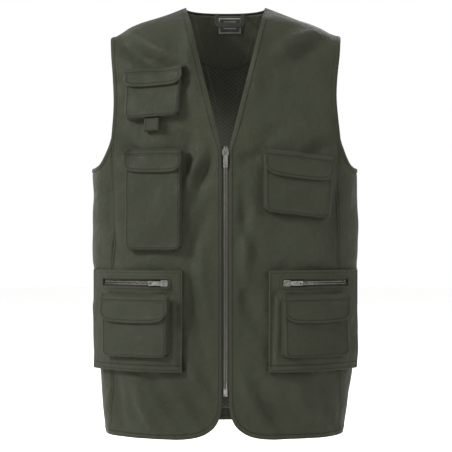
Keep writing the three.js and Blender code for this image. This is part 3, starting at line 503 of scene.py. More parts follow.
def twill(name, colour, roughness=0.66, sheen=0.025, crease=1.8, ridge=1.0, rib=0.0012):
    """Cotton-rich twill: diagonal ribs, slubs, soft crumples, a raised stitched edge and pale worn rims."""
    s = Shader(name)
    ribs = s.ribs((0.71, 0.71, 0.71), rib)
    slub = s.noise(900, 2, 0.6, (1, 1, 0.25))
    crumple = s.noise(26, 3, 0.5)
    small = s.noise(85, 2, 0.5)
    edge = s.attribute("edge_mm")
    band = s.ramp(edge, 7.4, 9.2, 1.0, 0.0)
    groove = s.bell(edge, 8.0, 1.1)
    pucker = s.math("MULTIPLY", s.bell(edge, 7.0, 4.5), s.noise(150, 1.5, 0.5))
    height = s.total(
        s.math("MULTIPLY", ribs, 0.00006),
        s.math("MULTIPLY", slub, 0.00005),
        s.math("MULTIPLY", crumple, 0.0030 * crease),
        s.math("MULTIPLY", small, 0.0007 * crease),
        s.math("MULTIPLY", band, 0.00045 * ridge),
        s.math("MULTIPLY", groove, -0.00045 * ridge),
        s.math("MULTIPLY", pucker, 0.0010 * ridge),
    )
    patches = s.ramp(s.noise(7, 3, 0.55), 0.3, 0.7, 0.93, 1.07)
    specks = s.ramp(slub, 0.3, 0.7, 0.90, 1.10)
    rub = s.ramp(edge, 0.2, 1.6, 1.22, 1.0)
    seam_shade = s.math("MULTIPLY_ADD", groove, -0.55, 1.0)
    weave = s.math("MULTIPLY_ADD", ribs, 0.12, 0.94)
    share = s.math("MULTIPLY", s.math("MULTIPLY", patches, specks), s.math("MULTIPLY", rub, seam_shade))
    share = s.math("MULTIPLY", share, weave)
    gloss = s.ramp(s.noise(40, 2, 0.5), 0.3, 0.7, roughness - 0.05, roughness + 0.07)
    return s.finish(s.tint(colour, share), height, gloss, sheen=sheen)


def tape(name, colour, pitch=0.0009, roughness=0.75):
    """Narrow woven tape with a herringbone rib."""
    s = Shader(name)
    ribs = s.ribs((0, 0, 1), pitch)
    cross = s.ribs((1, 0.6, 0), 0.0014)
    height = s.total(s.math("MULTIPLY", ribs, 0.00008), s.math("MULTIPLY", cross, 0.00008))
    share = s.math("MULTIPLY", s.ramp(s.noise(60, 2, 0.5), 0.3, 0.7, 0.88, 1.12),
                   s.math("MULTIPLY_ADD", cross, 0.16, 0.92))
    return s.finish(s.tint(colour, share), height, roughness, sheen=0.1)


def mesh_cloth(name, colour):
    """Warp-knit mesh: small dark holes and a larger raised diamond."""
    s = Shader(name)
    up = s.math("ABSOLUTE", s.math("SINE", s.math("MULTIPLY", s.along_axes((0.8, 0.2, 1)), math.pi / 0.0075)))
    down = s.math("ABSOLUTE", s.math("SINE",
                                     s.math("MULTIPLY", s.along_axes((-0.8, 0.2, 1)), math.pi / 0.0075)))
    line = s.math("MAXIMUM", s.ramp(up, 0.0, 0.32, 1.0, 0.0), s.ramp(down, 0.0, 0.32, 1.0, 0.0))
    fine = s.math("MULTIPLY", s.ribs((1, 0.3, 0.58), 0.0017), s.ribs((-1, 0.3, 0.58), 0.0017))
    hole = s.ramp(fine, 0.35, 0.6, 0.0, 1.0)
    share = s.total(0.72, s.math("MULTIPLY", line, 0.75), s.math("MULTIPLY", hole, -0.42))
    share = s.math("MULTIPLY", share, s.ramp(s.noise(9, 2, 0.5), 0.3, 0.7, 0.9, 1.1))
    height = s.total(s.math("MULTIPLY", line, 0.0004), s.math("MULTIPLY", hole, -0.0003),
                     s.math("MULTIPLY", s.noise(24, 2), 0.002))
    return s.finish(s.tint(colour, share), height, 0.85, sheen=0.12)


def thread_cloth(name, colour):
    s = Shader(name)
    twist = s.ribs((0.7, 0.7, 0.7), 0.0005)
    share = s.math("MULTIPLY", s.math("MULTIPLY_ADD", twist, 0.25, 0.88),
                   s.ramp(s.noise(45, 2), 0.3, 0.7, 0.9, 1.1))
    return s.finish(s.tint(colour, share), s.math("MULTIPLY", twist, 0.00006), 0.55, sheen=0.1)


def pile(name, colour):
    """Hook-and-loop tape: a dense short pile."""
    s = Shader(name)
    tuft = s.noise(1600, 3, 0.7)
    share = s.ramp(tuft, 0.25, 0.75, 0.55, 1.45)
    return s.finish(s.tint(colour, share), s.math("MULTIPLY", tuft, 0.0006), 0.9, sheen=0.2)


def antique_nickel(name, colour, dark):
    """Plated metal that has dulled: polish lines, cloudy tarnish and uneven gloss."""
    s = Shader(name)
    cloud = s.ramp(s.noise(240, 3, 0.6), 0.35, 0.7, dark, 1.0)
    lines = s.noise(900, 2, 0.5, (1, 1, 0.06))
    gloss = s.ramp(s.noise(520, 2, 0.5), 0.3, 0.7, 0.24, 0.44)
    height = s.total(s.math("MULTIPLY", lines, 0.00003), s.math("MULTIPLY", s.noise(420, 2), 0.00012))
    return s.finish(s.tint(colour, cloud), height, gloss, metallic=1.0, specular=0.5)


def woven_label(name, ground, mark):
    """Plain generic label: a woven ground, a darker border and three bars."""
    s = Shader(name)
    lo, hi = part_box("neck_label")
    x = s.math("SUBTRACT", s.along_axes((1, 0, 0)), (lo[0] + hi[0]) / 2)
    z = s.math("SUBTRACT", s.along_axes((0, 0, 1)), (lo[2] + hi[2]) / 2)
    half_x, half_z = (hi[0] - lo[0]) / 2, (hi[2] - lo[2]) / 2
    across, high = s.math("ABSOLUTE", x), s.math("ABSOLUTE", z)
    border = s.math("MAXIMUM", s.ramp(across, half_x - 0.0028, half_x - 0.0022),
                    s.ramp(high, half_z - 0.0028, half_z - 0.0022))
    bars = s.math("MULTIPLY", s.ramp(s.ribs((0, 0, 1), 0.0052), 0.66, 0.74),
                  s.ramp(across, 0.011, 0.0114, 1.0, 0.0))
    bars = s.math("MULTIPLY", bars, s.ramp(high, 0.0076, 0.008, 1.0, 0.0))
    pattern = s.math("MAXIMUM", border, bars)
    mix = s.tree.nodes.new("ShaderNodeMix")
    mix.data_type = "RGBA"
    mix.inputs["A"].default_value = (*ground, 1)
    mix.inputs["B"].default_value = (*mark, 1)
    s.wire(mix, "Factor", pattern)
    weave = s.math("MULTIPLY", s.ribs((1, 0, 0), 0.0006), s.ribs((0, 0, 1), 0.0006))
    height = s.total(s.math("MULTIPLY", weave, 0.00006), s.math("MULTIPLY", pattern, 0.0001))
    return s.finish(mix.outputs["Result"], height, 0.6, sheen=0.1)


SHELL = (0.0176, 0.0194, 0.0112)
shell_twill = twill("shell_twill", SHELL)
# The pouches', flaps' and welts' twill is the shell's own colour made a little darker: painted shade, so
# these pieces read darker than the chest under the lamps.
pocket_twill_painted_shade = twill("pocket_twill_painted_shade", tuple(0.92 * c for c in SHELL), crease=1.5, ridge=1.15)
flap_twill_painted_shade = twill("flap_twill_painted_shade", tuple(0.95 * c for c in SHELL), crease=1.2, ridge=1.2)
trim_twill = twill("trim_twill", tuple(0.92 * c for c in SHELL), crease=0.5, ridge=0.6, rib=0.0010)
# The facings are the shell's own twill given a lighter colour than the shell: painted light, making up for
# the shade inside the neck and back.
facing_twill = twill("facing_twill", (0.036, 0.0375, 0.0250), roughness=0.72, sheen=0.02, crease=0.9)
mesh_lining = mesh_cloth("mesh_lining", (0.044, 0.046, 0.033))
zip_tape = tape("zip_tape", (0.0135, 0.0145, 0.0095))
loop_tape = tape("loop_tape", (0.0165, 0.0175, 0.0120))
# The thread is darker than the cloth. This is partly the thread's own colour and partly painted shade,
# standing in for the shadows along the puckered stitch lines.
thread_painted_shade = thread_cloth("thread_painted_shade", (0.0085, 0.0094, 0.0060))
hook_and_loop = pile("hook_and_loop", (0.012, 0.013, 0.009))
nickel = antique_nickel("antique_nickel", (0.25, 0.245, 0.22), 0.5)
teeth_metal = antique_nickel("teeth_metal", (0.34, 0.33, 0.285), 0.6)
label_cloth = woven_label("label_cloth", (0.030, 0.030, 0.028), (0.16, 0.16, 0.15))


# ---------- Edges of the panels ----------
def armhole_outer(drop, reach, low):
    """x of the armhole's curve, a distance inside its binding's outer edge."""
    up = np.maximum(0, (ARMHOLE_WAIST_DROP - drop) / (ARMHOLE_WAIST_DROP - SHOULDER_DROP))
    above = ARMHOLE_HALF + (SHOULDER_HALF - ARMHOLE_HALF) * up**1.6 - reach
    bottom = half_at(low)
    down = np.clip((drop - ARMHOLE_WAIST_DROP) / (low - ARMHOLE_WAIST_DROP), 0, 1)
    waist = ARMHOLE_HALF - reach
    below = waist + (bottom - waist) * (1 - (1 - down**2.3) ** (1 / 2.3))
    return np.where(drop <= ARMHOLE_WAIST_DROP, above, below)


CLOTH_UNDERARM = UNDERARM_DROP + BINDING
CLOTH_TIP_HALF = SHOULDER_HALF - BINDING
CLOTH_TIP_DROP = (CLOTH_TIP_HALF - NECK_HALF) / SLOPE
SEAM_TOP = ARMHOLE_WAIST_DROP + 0.7 * (UNDERARM_DROP - ARMHOLE_WAIST_DROP)


def armhole(drop):
    return armhole_outer(np.asarray(drop, float), BINDING, CLOTH_UNDERARM)


SEAM = [
    (SEAM_TOP, float(armhole(SEAM_TOP)), -0.02), (HIP_DROP - 200, min(SIDE_SEAM, 0.87 * CHEST_HALF), 0),
    (BODY_LENGTH, min(SIDE_SEAM + 6, 0.96 * HEM_HALF), 0.03),
]


def side_seam(drop):
    return along(SEAM, drop)


def front_inner(drop):
    """x of the front's inner edge: straight V, straight zip edge, rounded hem corner."""
    drop = np.asarray(drop, float)
    vee = FRONT_EDGE + (NECK_HALF - FRONT_EDGE - 1) * (1 - drop / V_BOTTOM)
    down = np.clip((drop - ZIP_END) / (BODY_LENGTH - ZIP_END), 0, 1)
    corner = FRONT_EDGE + HEM_CORNER * (1 - (1 - down**3) ** (1 / 3))
    return np.where(drop < V_BOTTOM, vee, corner)


def upper_shares(count):
    return 1 - (1 - np.linspace(0, 1, count + 1)) ** 2.1


def crowded(t):
    return np.sin(t * 5 * math.pi / 12) / math.sin(5 * math.pi / 12)


def off_seam(p, side):
    p[..., 1] = side * np.maximum(np.abs(p[..., 1]), SEAM_GAP / 2)
    return p


def front_grid(s, u, upper_rows=46, lower_rows=64):
    """Rows from the shoulder seam to the hem; u runs from the front edge (0) to the side (1)."""
    v = upper_shares(upper_rows)[:, None]
    u = np.asarray(u, float)[None, :]
    drop = SEAM_TOP + (CLOTH_TIP_DROP * u - SEAM_TOP) * v
    x = (1 - u) * front_inner(SEAM_TOP * (1 - v)) + u * armhole(SEAM_TOP + (CLOTH_TIP_DROP - SEAM_TOP) * v)
    x = np.where(v == 1, NECK_HALF + (CLOTH_TIP_HALF - NECK_HALF) * u, x)
    upper = off_seam(on_body(s * x, drop, -1), -1)[::-1]
    corner = ZIP_END + (BODY_LENGTH - ZIP_END) * np.sin(np.linspace(0, math.pi / 2, 26))
    rows = np.concatenate([np.linspace(SEAM_TOP, ZIP_END, lower_rows)[1:], corner[1:]])[:, None]
    x = (1 - u) * front_inner(rows) + u * (side_seam(rows) - SEAM_GAP / 2)
    return np.concatenate([upper, on_body(s * x, rows + 0 * u, -1)])


def side_angle(x, drop):
    return np.arccos(np.minimum(1, x / half_at(drop)) ** (POWER / 2))


def half_for_angle(angle, drop):
    return half_at(drop) * np.cos(angle) ** (2 / POWER)


def armhole_drop_at(angle):
    high = np.full(np.shape(angle), SEAM_TOP)
    low = np.full(np.shape(angle), float(CLOTH_UNDERARM))
    for _ in range(34):
        middle = (high + low) / 2
        wide = side_angle(armhole(middle), middle) > angle
        high = np.where(wide, middle, high)
        low = np.where(wide, low, middle)
    return high


def side_grid(s, rows=70, cols=48):
    u = np.linspace(-1, 1, cols + 1)
    top_angle = side_angle(side_seam(SEAM_TOP) + SEAM_GAP / 2, SEAM_TOP) * np.abs(u)
    top = np.where(u == 0, CLOTH_UNDERARM, armhole_drop_at(top_angle))
    v = np.linspace(0, 1, rows + 1)[:, None]
    drop = top + (BODY_LENGTH - top) * v
    angle = side_angle(side_seam(drop) + SEAM_GAP / 2, drop) * np.abs(u)
    side = np.where(u < 0, -1, 1) + 0 * drop
    return on_body(s * half_for_angle(angle, drop), drop, side)


def back_grid(low_drop=BODY_LENGTH, top_share=1.0, upper_rows=46, lower_rows=70, cols=96):
    u = crowded(np.linspace(-1, 1, cols + 1))[None, :]
    a = np.abs(u)
    neck_share = 0.4
    neck_x = half_for_angle((math.pi / 2) * (1 - np.minimum(a / neck_share, 1)), 0.0)
    share = np.maximum(0, (a - neck_share) / (1 - neck_share))
    top_x = np.where(a < neck_share, neck_x, NECK_HALF + (CLOTH_TIP_HALF - NECK_HALF) * share)
    top_drop = np.where(a < neck_share, 0, CLOTH_TIP_DROP * share)
    v = upper_shares(upper_rows)[:, None]
    v = v[v[:, 0] <= top_share]
    drop = SEAM_TOP + (top_drop - SEAM_TOP) * v
    part = a + (top_x / CLOTH_TIP_HALF - a) * v**1.5
    edge = np.where(v == 1, CLOTH_TIP_HALF, armhole(SEAM_TOP + (CLOTH_TIP_DROP - SEAM_TOP) * v))
    upper = off_seam(on_body(np.sign(u) * edge * part, drop, 1), 1)[::-1]
    rows = np.linspace(SEAM_TOP, low_drop, lower_rows)[1:, None]
    lower = on_body(u * (side_seam(rows) - SEAM_GAP / 2), rows + 0 * u, 1)
    return np.concatenate([upper, lower])


def layer(name, g, top, thick, slot_name, material, replaces, edge=None, body="vest", holes=()):
    """A layer of cloth between two lifts off the body, with the folds of the whole garment."""
    n = body_normal(g)
    outer = settle(g) + n * top
    return cloth(name, outer, thick, slot_name, material, body, replaces, edge, normals=n, holes=holes)


def inset(path, distance, side, away_from):
    """A path on the body, moved sideways along the surface away from a point."""
    path = np.asarray(path, float)
    t = np.gradient(path, axis=0)
    n = body_normal(path)
    across = np.cross(n, t)
    across /= np.maximum(np.linalg.norm(across, axis=1, keepdims=True), 1e-9)
    sign = np.sign(np.sum(across * (path - np.asarray(away_from, float)), axis=1))
    q = path + across * (sign * np.asarray(distance, float))[:, None]
    return on_body(q[:, 0], -q[:, 2], side)


def sew_body(path, body="vest", lift=0.0, **how):
    """Stitches along a path on the undisturbed body surface."""
    n = body_normal(path)
    stitch(settle(path) + n * lift, n, body, **how)


SHARES = crowd(44)(190)
MARGIN_DROPS = [0, V_BOTTOM - 30, V_BOTTOM + 10, ZIP_END, ZIP_END + 50, BODY_LENGTH]
MARGINS = [8.5, 8.5, 5.4, 5.4, 8, 8]      # stitching to edge, down the front
DRAWN_MARGIN = 8
SEAM_MARGIN = 3.5
for name, s in SIDES:
    g = front_grid(s, SHARES)
    vee_drops = np.concatenate([np.linspace(2, V_BOTTOM, 60), np.linspace(V_BOTTOM, ZIP_END, 90)[1:]])
    corner_turn = np.linspace(0, 1, 60)[1:]
    corner_drop = ZIP_END + (BODY_LENGTH - ZIP_END) * np.sin(corner_turn * math.pi / 2) ** 0.8
    drops = np.concatenate([vee_drops, corner_drop])
    inner_edge = on_body(s * front_inner(drops), drops, -1)
    hem_x = np.linspace(FRONT_EDGE + HEM_CORNER, float(side_seam(BODY_LENGTH)), 40)[1:]
    hem = on_body(s * hem_x, np.full(hem_x.shape, float(BODY_LENGTH)), -1)
    edge_path = np.concatenate([inner_edge, hem])
    off = np.interp(np.concatenate([drops, np.full(hem_x.shape, float(BODY_LENGTH))]),
                    MARGIN_DROPS, MARGINS)
    edge = path_distance(g, edge_path) * DRAWN_MARGIN / np.interp(-g[..., 2], MARGIN_DROPS, MARGINS)
    seam_d = np.linspace(SEAM_TOP, BODY_LENGTH, 80)
    seam_path = on_body(s * (side_seam(seam_d) - SEAM_GAP / 2), seam_d, -1)
    edge = np.minimum(edge, path_distance(g, seam_path) + 4.5)
    layer(f"{name}_front_cloth", g, 0.0, CLOTH, "shell_twill", shell_twill, [f"{name}_front_panel"], edge)
    sew_body(inset(edge_path, off, -1, (s * 0.0, -CHEST_DEPTH, -400))[3:-4])
    sew_body(inset(seam_path, SEAM_MARGIN, -1, (s * 300, 0, -450)))
    tip_x = np.linspace(NECK_HALF + 4, CLOTH_TIP_HALF - 4, 60)
    shoulder = on_body(s * tip_x, (tip_x - NECK_HALF) / SLOPE + 3.2, -1)
    sew_body(shoulder, lift=0.1)

    # Side panel
    g = side_grid(s)
    edge = np.minimum(99, (BODY_LENGTH + g[..., 2]))
    layer(f"{name}_side_cloth", g, 0.0, CLOTH, "shell_twill", shell_twill, [f"{name}_side_panel"], edge)
    angle = np.linspace(-1, 1, 50)
    low = float(BODY_LENGTH - DRAWN_MARGIN)
    reach = side_angle(side_seam(low) + 1, low)
    hem_path = on_body(s * half_for_angle(np.abs(angle) * reach, low), low, np.where(angle < 0, -1, 1))
    sew_body(hem_path)
    back_seam = on_body(s * (side_seam(seam_d) - SEAM_MARGIN), seam_d, 1)
    sew_body(back_seam)

    # The turned allowances inside the two side seams.
    for seam, side in (("front", -1), ("back", 1)):
        fell = on_body(s * (side_seam(seam_d)[:, None] + np.linspace(-5, 5, 6)),
                       seam_d[:, None] + np.zeros(6), side)
        layer(f"{name}_{seam}_seam_allowance_cloth", fell[1:], -CLOTH - 0.05, 0.45, "shell_twill",
              trim_twill, [])

# Back panel, with a yoke seam across the shoulder blades.
YOKE_DROP = 152
g = back_grid()
neck_edge = g[0]
neck_distance = path_distance(g, neck_edge[np.abs(neck_edge[:, 0]) <= NECK_HALF + 1])
yoke_line = YOKE_DROP + 10 * (np.abs(g[..., 0]) / 190) ** 2
yoke = -g[..., 2] - yoke_line
edge = np.minimum(neck_distance * 1.5, BODY_LENGTH + g[..., 2])
edge = np.where(np.abs(yoke) < 4, 8 + yoke, edge)
layer("back_cloth", g, 0.0, CLOTH, "shell_twill", shell_twill, ["back_panel"], edge)
x = np.linspace(-182, 182, 150)
for gap in (-1.6, -6.5):
    sew_body(on_body(x, YOKE_DROP + 10 * (np.abs(x) / 190) ** 2 + gap, 1))
x = np.linspace(-float(side_seam(731)) + 3, float(side_seam(731)) - 3, 160)
sew_body(on_body(x, np.full(x.shape, BODY_LENGTH - 8.0), 1))
turn = np.linspace(-1, 1, 80)
neck_x = half_for_angle(math.pi / 2 * (1 - np.abs(turn)), 0.0) * np.sign(turn)
neck_seam = on_body(neck_x, 0.0, 1)
sew_body(inset(neck_seam, 5.0, 1, (0, 0, 0))[4:-4])

# Armhole bindings: a rounded strip on the panels' own edges.
for name, s in SIDES:
    front = front_grid(s, [0.5, 1.0], upper_rows=40)[:41, 1]
    side_top = side_grid(s, rows=2, cols=60)[0]
    back_edge = back_grid(upper_rows=40, cols=4)[:41, 0 if s < 0 else -1][::-1]
    loop = np.concatenate([front, side_top[1:-1], back_edge])
    run = np.roll(loop, -1, axis=0) - np.roll(loop, 1, axis=0)
    n = body_normal(loop)
    away = np.cross(run, n)
    away /= np.linalg.norm(away, axis=1, keepdims=True)
    toward = np.array([1.2 * s * CHEST_HALF, 0, -ARMHOLE_WAIST_DROP]) - loop
    away *= np.sign(np.sum(away * toward, axis=1))[:, None]
    base = settle(loop)
    count = 14
    turns = np.arange(count) * 2 * math.pi / count
    centre_reach, half_reach, half_thick, middle = 2.3, 3.8, 1.75, -CLOTH / 2
    ring = []
    for a in turns:
        reach = centre_reach + half_reach * np.sign(math.cos(a)) * abs(math.cos(a)) ** 0.7
        lift = middle + half_thick * np.sign(math.sin(a)) * abs(math.sin(a)) ** 0.8
        ring.append(base + away * reach + n * lift)
    ring = np.stack(ring + [ring[0]], axis=1)
    rows, cols = ring.shape[:2]
    faces = []
    for r in range(rows):
        for c in range(count):
            q, d = (r + 1) % rows, (c + 1) % count
            faces.append((r * count + c, q * count + c, q * count + d, r * count + d))
    flat = ring[:, :count].reshape(-1, 3)
    first = faces[0]
    outward = np.cross(flat[first[1]] - flat[first[0]], flat[first[2]] - flat[first[0]])
    if np.dot(outward, flat[first[0]] - ring[0, :count].mean(axis=0)) < 0:
        faces = [f[::-1] for f in faces]
    make(f"{name}_armhole_binding_cloth", flat, faces, "trim_twill", trim_twill, "vest",
         [f"{name}_armhole_binding"],
         np.full(len(flat), 99.0))
    closed = np.concatenate([loop, loop[:1]])
    stitch(base + away * 1.5 + n * 0.72, n)
    sew_body(inset(closed, 5.0, np.where(closed[:, 1] < 0, -1, 1),
                   (s * 1.2 * CHEST_HALF, 0, -ARMHOLE_WAIST_DROP)))

# ---------- Inside of the neck and back ----------
FRONT_FACING_TOP = TAPE_BOTTOM - LAYER_GAP
FACING_TOP = -CLOTH - THIN - LINING_GAP
BACK_FACING_HALF = 1.6 * NECK_HALF
for name, s in SIDES:
    g = front_grid(s, np.linspace(0, 0.24, 12))
    layer(f"{name}_front_facing_cloth", g, FRONT_FACING_TOP, THIN, "facing_twill", facing_twill,
          [f"{name}_front_facing"])

x = np.linspace(-BACK_FACING_HALF, BACK_FACING_HALF, 90)[None, :]
top = np.maximum(0, (np.abs(x) - NECK_HALF) / SLOPE) + 1
v = np.linspace(0, 1, 30)[:, None]
low = 93 - 69 * (x / BACK_FACING_HALF) ** 2
g = on_body(x + 0 * v, top + (low - top) * v, 1)
layer("back_neck_facing_cloth", g, FACING_TOP, THIN, "facing_twill", facing_twill, ["back_neck_facing"])
x = np.linspace(-BACK_FACING_HALF + 8, BACK_FACING_HALF - 8, 120)
for gap in (2.2, 5.5):
    path = on_body(x, 93 - 69 * (x / BACK_FACING_HALF) ** 2 - gap, 1)
    n = body_normal(path)
    stitch(settle(path) + n * (FACING_TOP - THIN), -n)

g = back_grid(low_drop=BODY_LENGTH - 22, top_share=0.96)
layer("back_mesh_lining_cloth", g, -CLOTH - LAYER_GAP, THIN, "mesh_lining", mesh_lining, ["back_mesh_lining"])
x = np.linspace(-180, 180, 120)
for drop in (BODY_LENGTH - 25.0, BODY_LENGTH - 31.0):
    path = on_body(x, np.full(x.shape, drop), 1)
    n = body_normal(path)
    stitch(settle(path) + n * (-CLOTH - LAYER_GAP - THIN), -n)

for name, s in SIDES:
    slope = math.atan2(SHOULDER_DROP, SHOULDER_HALF - NECK_HALF)
    start = (BACK_FACING_HALF + 8 - NECK_HALF) / math.cos(slope)
    end = (SHOULDER_HALF - BINDING - 9 - NECK_HALF) / math.cos(slope)
    run = np.linspace(start, end, 30)[:, None]
    y = np.linspace(-7, 7, 9)[None, :]
    drop_dir = np.array([s * math.cos(slope), 0, -math.sin(slope)])
    normal = np.array([s * math.sin(slope), 0, math.cos(slope)])
    g = np.array([s * NECK_HALF, 0, 0]) + run[..., None] * drop_dir + y[..., None] * np.array([0, 1, 0.0])
    g = g + normal * (-CLOTH - 1.2)
    cloth(f"{name}_shoulder_stay_tape", g, THIN, "trim_twill", loop_tape, "vest", [f"{name}_shoulder_stay"],
          normals=np.broadcast_to(normal, g.shape))

drop = np.linspace(3, 29, 16)[:, None]
x = np.linspace(-20.5, 20.5, 24)[None, :] + 8
LABEL_LIFT = FACING_TOP - THIN - LINING_GAP
g = on_body(x + 0 * drop, drop + 0 * x, 1)
layer("neck_label_cloth", g, LABEL_LIFT, THIN, "label_cloth", label_cloth, ["neck_label"])
for end in (-19, 19):
    path = on_body(8.0 + end, np.linspace(5, 27, 16), 1)
    n = body_normal(path)
    stitch(settle(path) + n * (LABEL_LIFT - THIN), -n, pitch=2.6, length=1.9, radius=0.25)

# Hanger loop: a tape in a U, its lower corners turned on the diagonal.
loop_corner = np.array([8, (np.array(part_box("hanger_loop")[0]) * 1000)[1], -2])
half, dropped, chamfer, width = 27.0, 26.0, 6.0, 7.0
outer_path = [(-half, 0), (-half, -dropped + chamfer), (-half + chamfer, -dropped),
              (half - chamfer, -dropped),
              (half, -dropped + chamfer), (half, 0)]
inner_path = [(-half + width, 0), (-half + width, -dropped + width + 5),
              (-half + width + 3, -dropped + width + 2),
              (half - width - 3, -dropped + width + 2), (half - width, -dropped + width + 5),
              (half - width, 0)]


def spread(points, count):
    points = np.array([(a, 0, b) for a, b in points], float)
    return resample(points, 0.01)[np.linspace(0, len(resample(points, 0.01)) - 1, count).astype(int)]


outer_line, inner_line = spread(outer_path, 60), spread(inner_path, 60)
share = np.linspace(0, 1, 7)[None, :, None]
g = outer_line[:, None] * (1 - share) + inner_line[:, None] * share
g = g + loop_corner
cloth("hanger_loop_tape", g, THIN, "trim_twill", loop_tape, "hanger_loop", ["hanger_loop"],
      normals=np.broadcast_to(np.array([0, -1.0, 0]), g.shape))
for share in (0.14, 0.86):
    path = outer_line * (1 - share) + inner_line * share + loop_corner
    stitch(path, np.broadcast_to(np.array([0, -1.0, 0]), path.shape), "hanger_loop", pitch=2.6, length=1.9,
           radius=0.25)


# ---------- Pockets ----------
class Place:
    """Where a pocket sits: across, up and out distances, and how far out the cloth under it is."""

    def __init__(self, origin, across, up, out, under):
        self.origin, self.across, self.up, self.out, self.under = origin, across, up, out, under

    def at(self, u, v, w):
        u, v, w = np.broadcast_arrays(np.asarray(u, float), np.asarray(v, float), np.asarray(w, float))
        return self.origin + u[..., None] * self.across + v[..., None] * self.up + w[..., None] * self.out


def body_place(x, top, height, tilt):
    middle = on_body(x, top + height / 2, -1)
    out = body_normal(middle)
    level = np.cross([0, 0, 1.0], out)
    level /= np.linalg.norm(level)
    up = np.cross(out, level)
    a = math.radians(tilt)
    across = level * math.cos(a) + up * math.sin(a)
    place = Place(middle + up * height / 2, across, up, out, None)

    def under(u, v):
        start = place.at(u, v, -60)
        return ray_to_body(start, np.broadcast_to(out, start.shape), 120) - 60

    place.under = under
    return place


def pouch_axes(half, height, closed_top):
    wall = [(-half, 0.0), (-half + 0.5, 0.2), (-half + 1.3, 0.5), (-half + 0.5, 0.8), (-half + 0.4, 0.93),
            (-half + 1.2, 0.985)]
    middle = [(u, 1.0) for u in np.linspace(-half + 2.5, half - 2.5, max(20, int(half / 1.6)))]
    across = wall + middle + [(-u, d) for u, d in reversed(wall)]
    bottom = [(-height + 1.2, 0.985), (-height + 0.4, 0.93), (-height + 0.5, 0.8), (-height + 1.0, 0.5),
              (-height, 0.2),
              (-height, 0.0)]
    body = [(v, 1.0) for v in np.linspace(-2.5 if closed_top else 0, -height + 2.5, max(24, int(height / 3)))]
    top = [(0, 0.0), (0, 0.2), (-1.0, 0.5), (-0.5, 0.8), (-0.4, 0.93), (-1.2, 0.985)] if closed_top else []
    return np.array(across), np.array(top + body + bottom)


def rounded_corner(u, v, half, height, radius):
    """Turns the two square lower corners of a pocket into round ones."""
    a = (np.abs(u) - (half - radius)) / radius
    b = (-v - (height - radius)) / radius
    inside = (a > 0) & (b > 0)
    shrink = np.where(inside, np.maximum(a, b) / np.maximum(np.hypot(a, b), 1e-9), 1)
    round_u = np.sign(u) * (half - radius + a * shrink * radius)
    round_v = -(height - radius + b * shrink * radius)
    return np.where(inside, round_u, u), np.where(inside, round_v, v)


def pouch_cloth(name, place, width, height, front, swell, material, replaces):
    half = width / 2
    across, rows = pouch_axes(half, height, False)
    u, d = across[None, :, 0], across[None, :, 1]
    v, k = rows[:, None, 0], rows[:, None, 1]
    u, v = np.broadcast_arrays(u, v)
    d = d * k
    base = place.under(u, v) + LAYER_GAP
    w = base + (front(u, v) - base) * d + swell(u, v) * d
    g = settle(place.at(*rounded_corner(u, v, half, height, 11.0), w))
    rim = np.minimum(half - np.abs(u), height + v)
    edge = np.maximum(rim, 0) * 2.0
    return cloth(name, g, CLOTH, "shell_twill", material, "vest", replaces, edge)


def face_path(place, front, swell, points, lift=0.0):
    """A path on a pocket's face through (u, v) corners, with its normals."""
    corners = np.array([(a, 0, b) for a, b in points], float)
    line = resample(corners, 2.0)
    u, v = line[:, 0], line[:, 2]
    p = settle(place.at(u, v, front(u, v) + swell(u, v) + lift))
    return p, np.broadcast_to(place.out, p.shape)


def flap_shape(width, flap, front, seed):
    half = width / 2 + 3

    def outline(u):
        share = np.abs(u) / half
        return flap * (1 - 0.08 * share**2 - 0.4 * share**9)

    def lift(u, v):
        """How far the flap's outer face stands out."""
        u, v = np.broadcast_arrays(np.asarray(u, float), np.asarray(v, float))
        low = front(u, np.minimum(0, v)) + FLAP_GAP
        t = smooth((FLAP_RISE - v) / 6.8)
        down = np.clip(-v / flap, 0, 1)
        curl = 1.0 * down**3 + 1.5 * down**2 * (np.abs(u) / half) ** 4
        ripple = 0.5 * down * (1 + np.sin(u / 9.0 + seed) * np.sin(u / 17.0 + 2 * seed))
        return FLAP_START + (low - FLAP_START) * t + 1.6 + curl + ripple
    return half, outline, lift


bends = {}


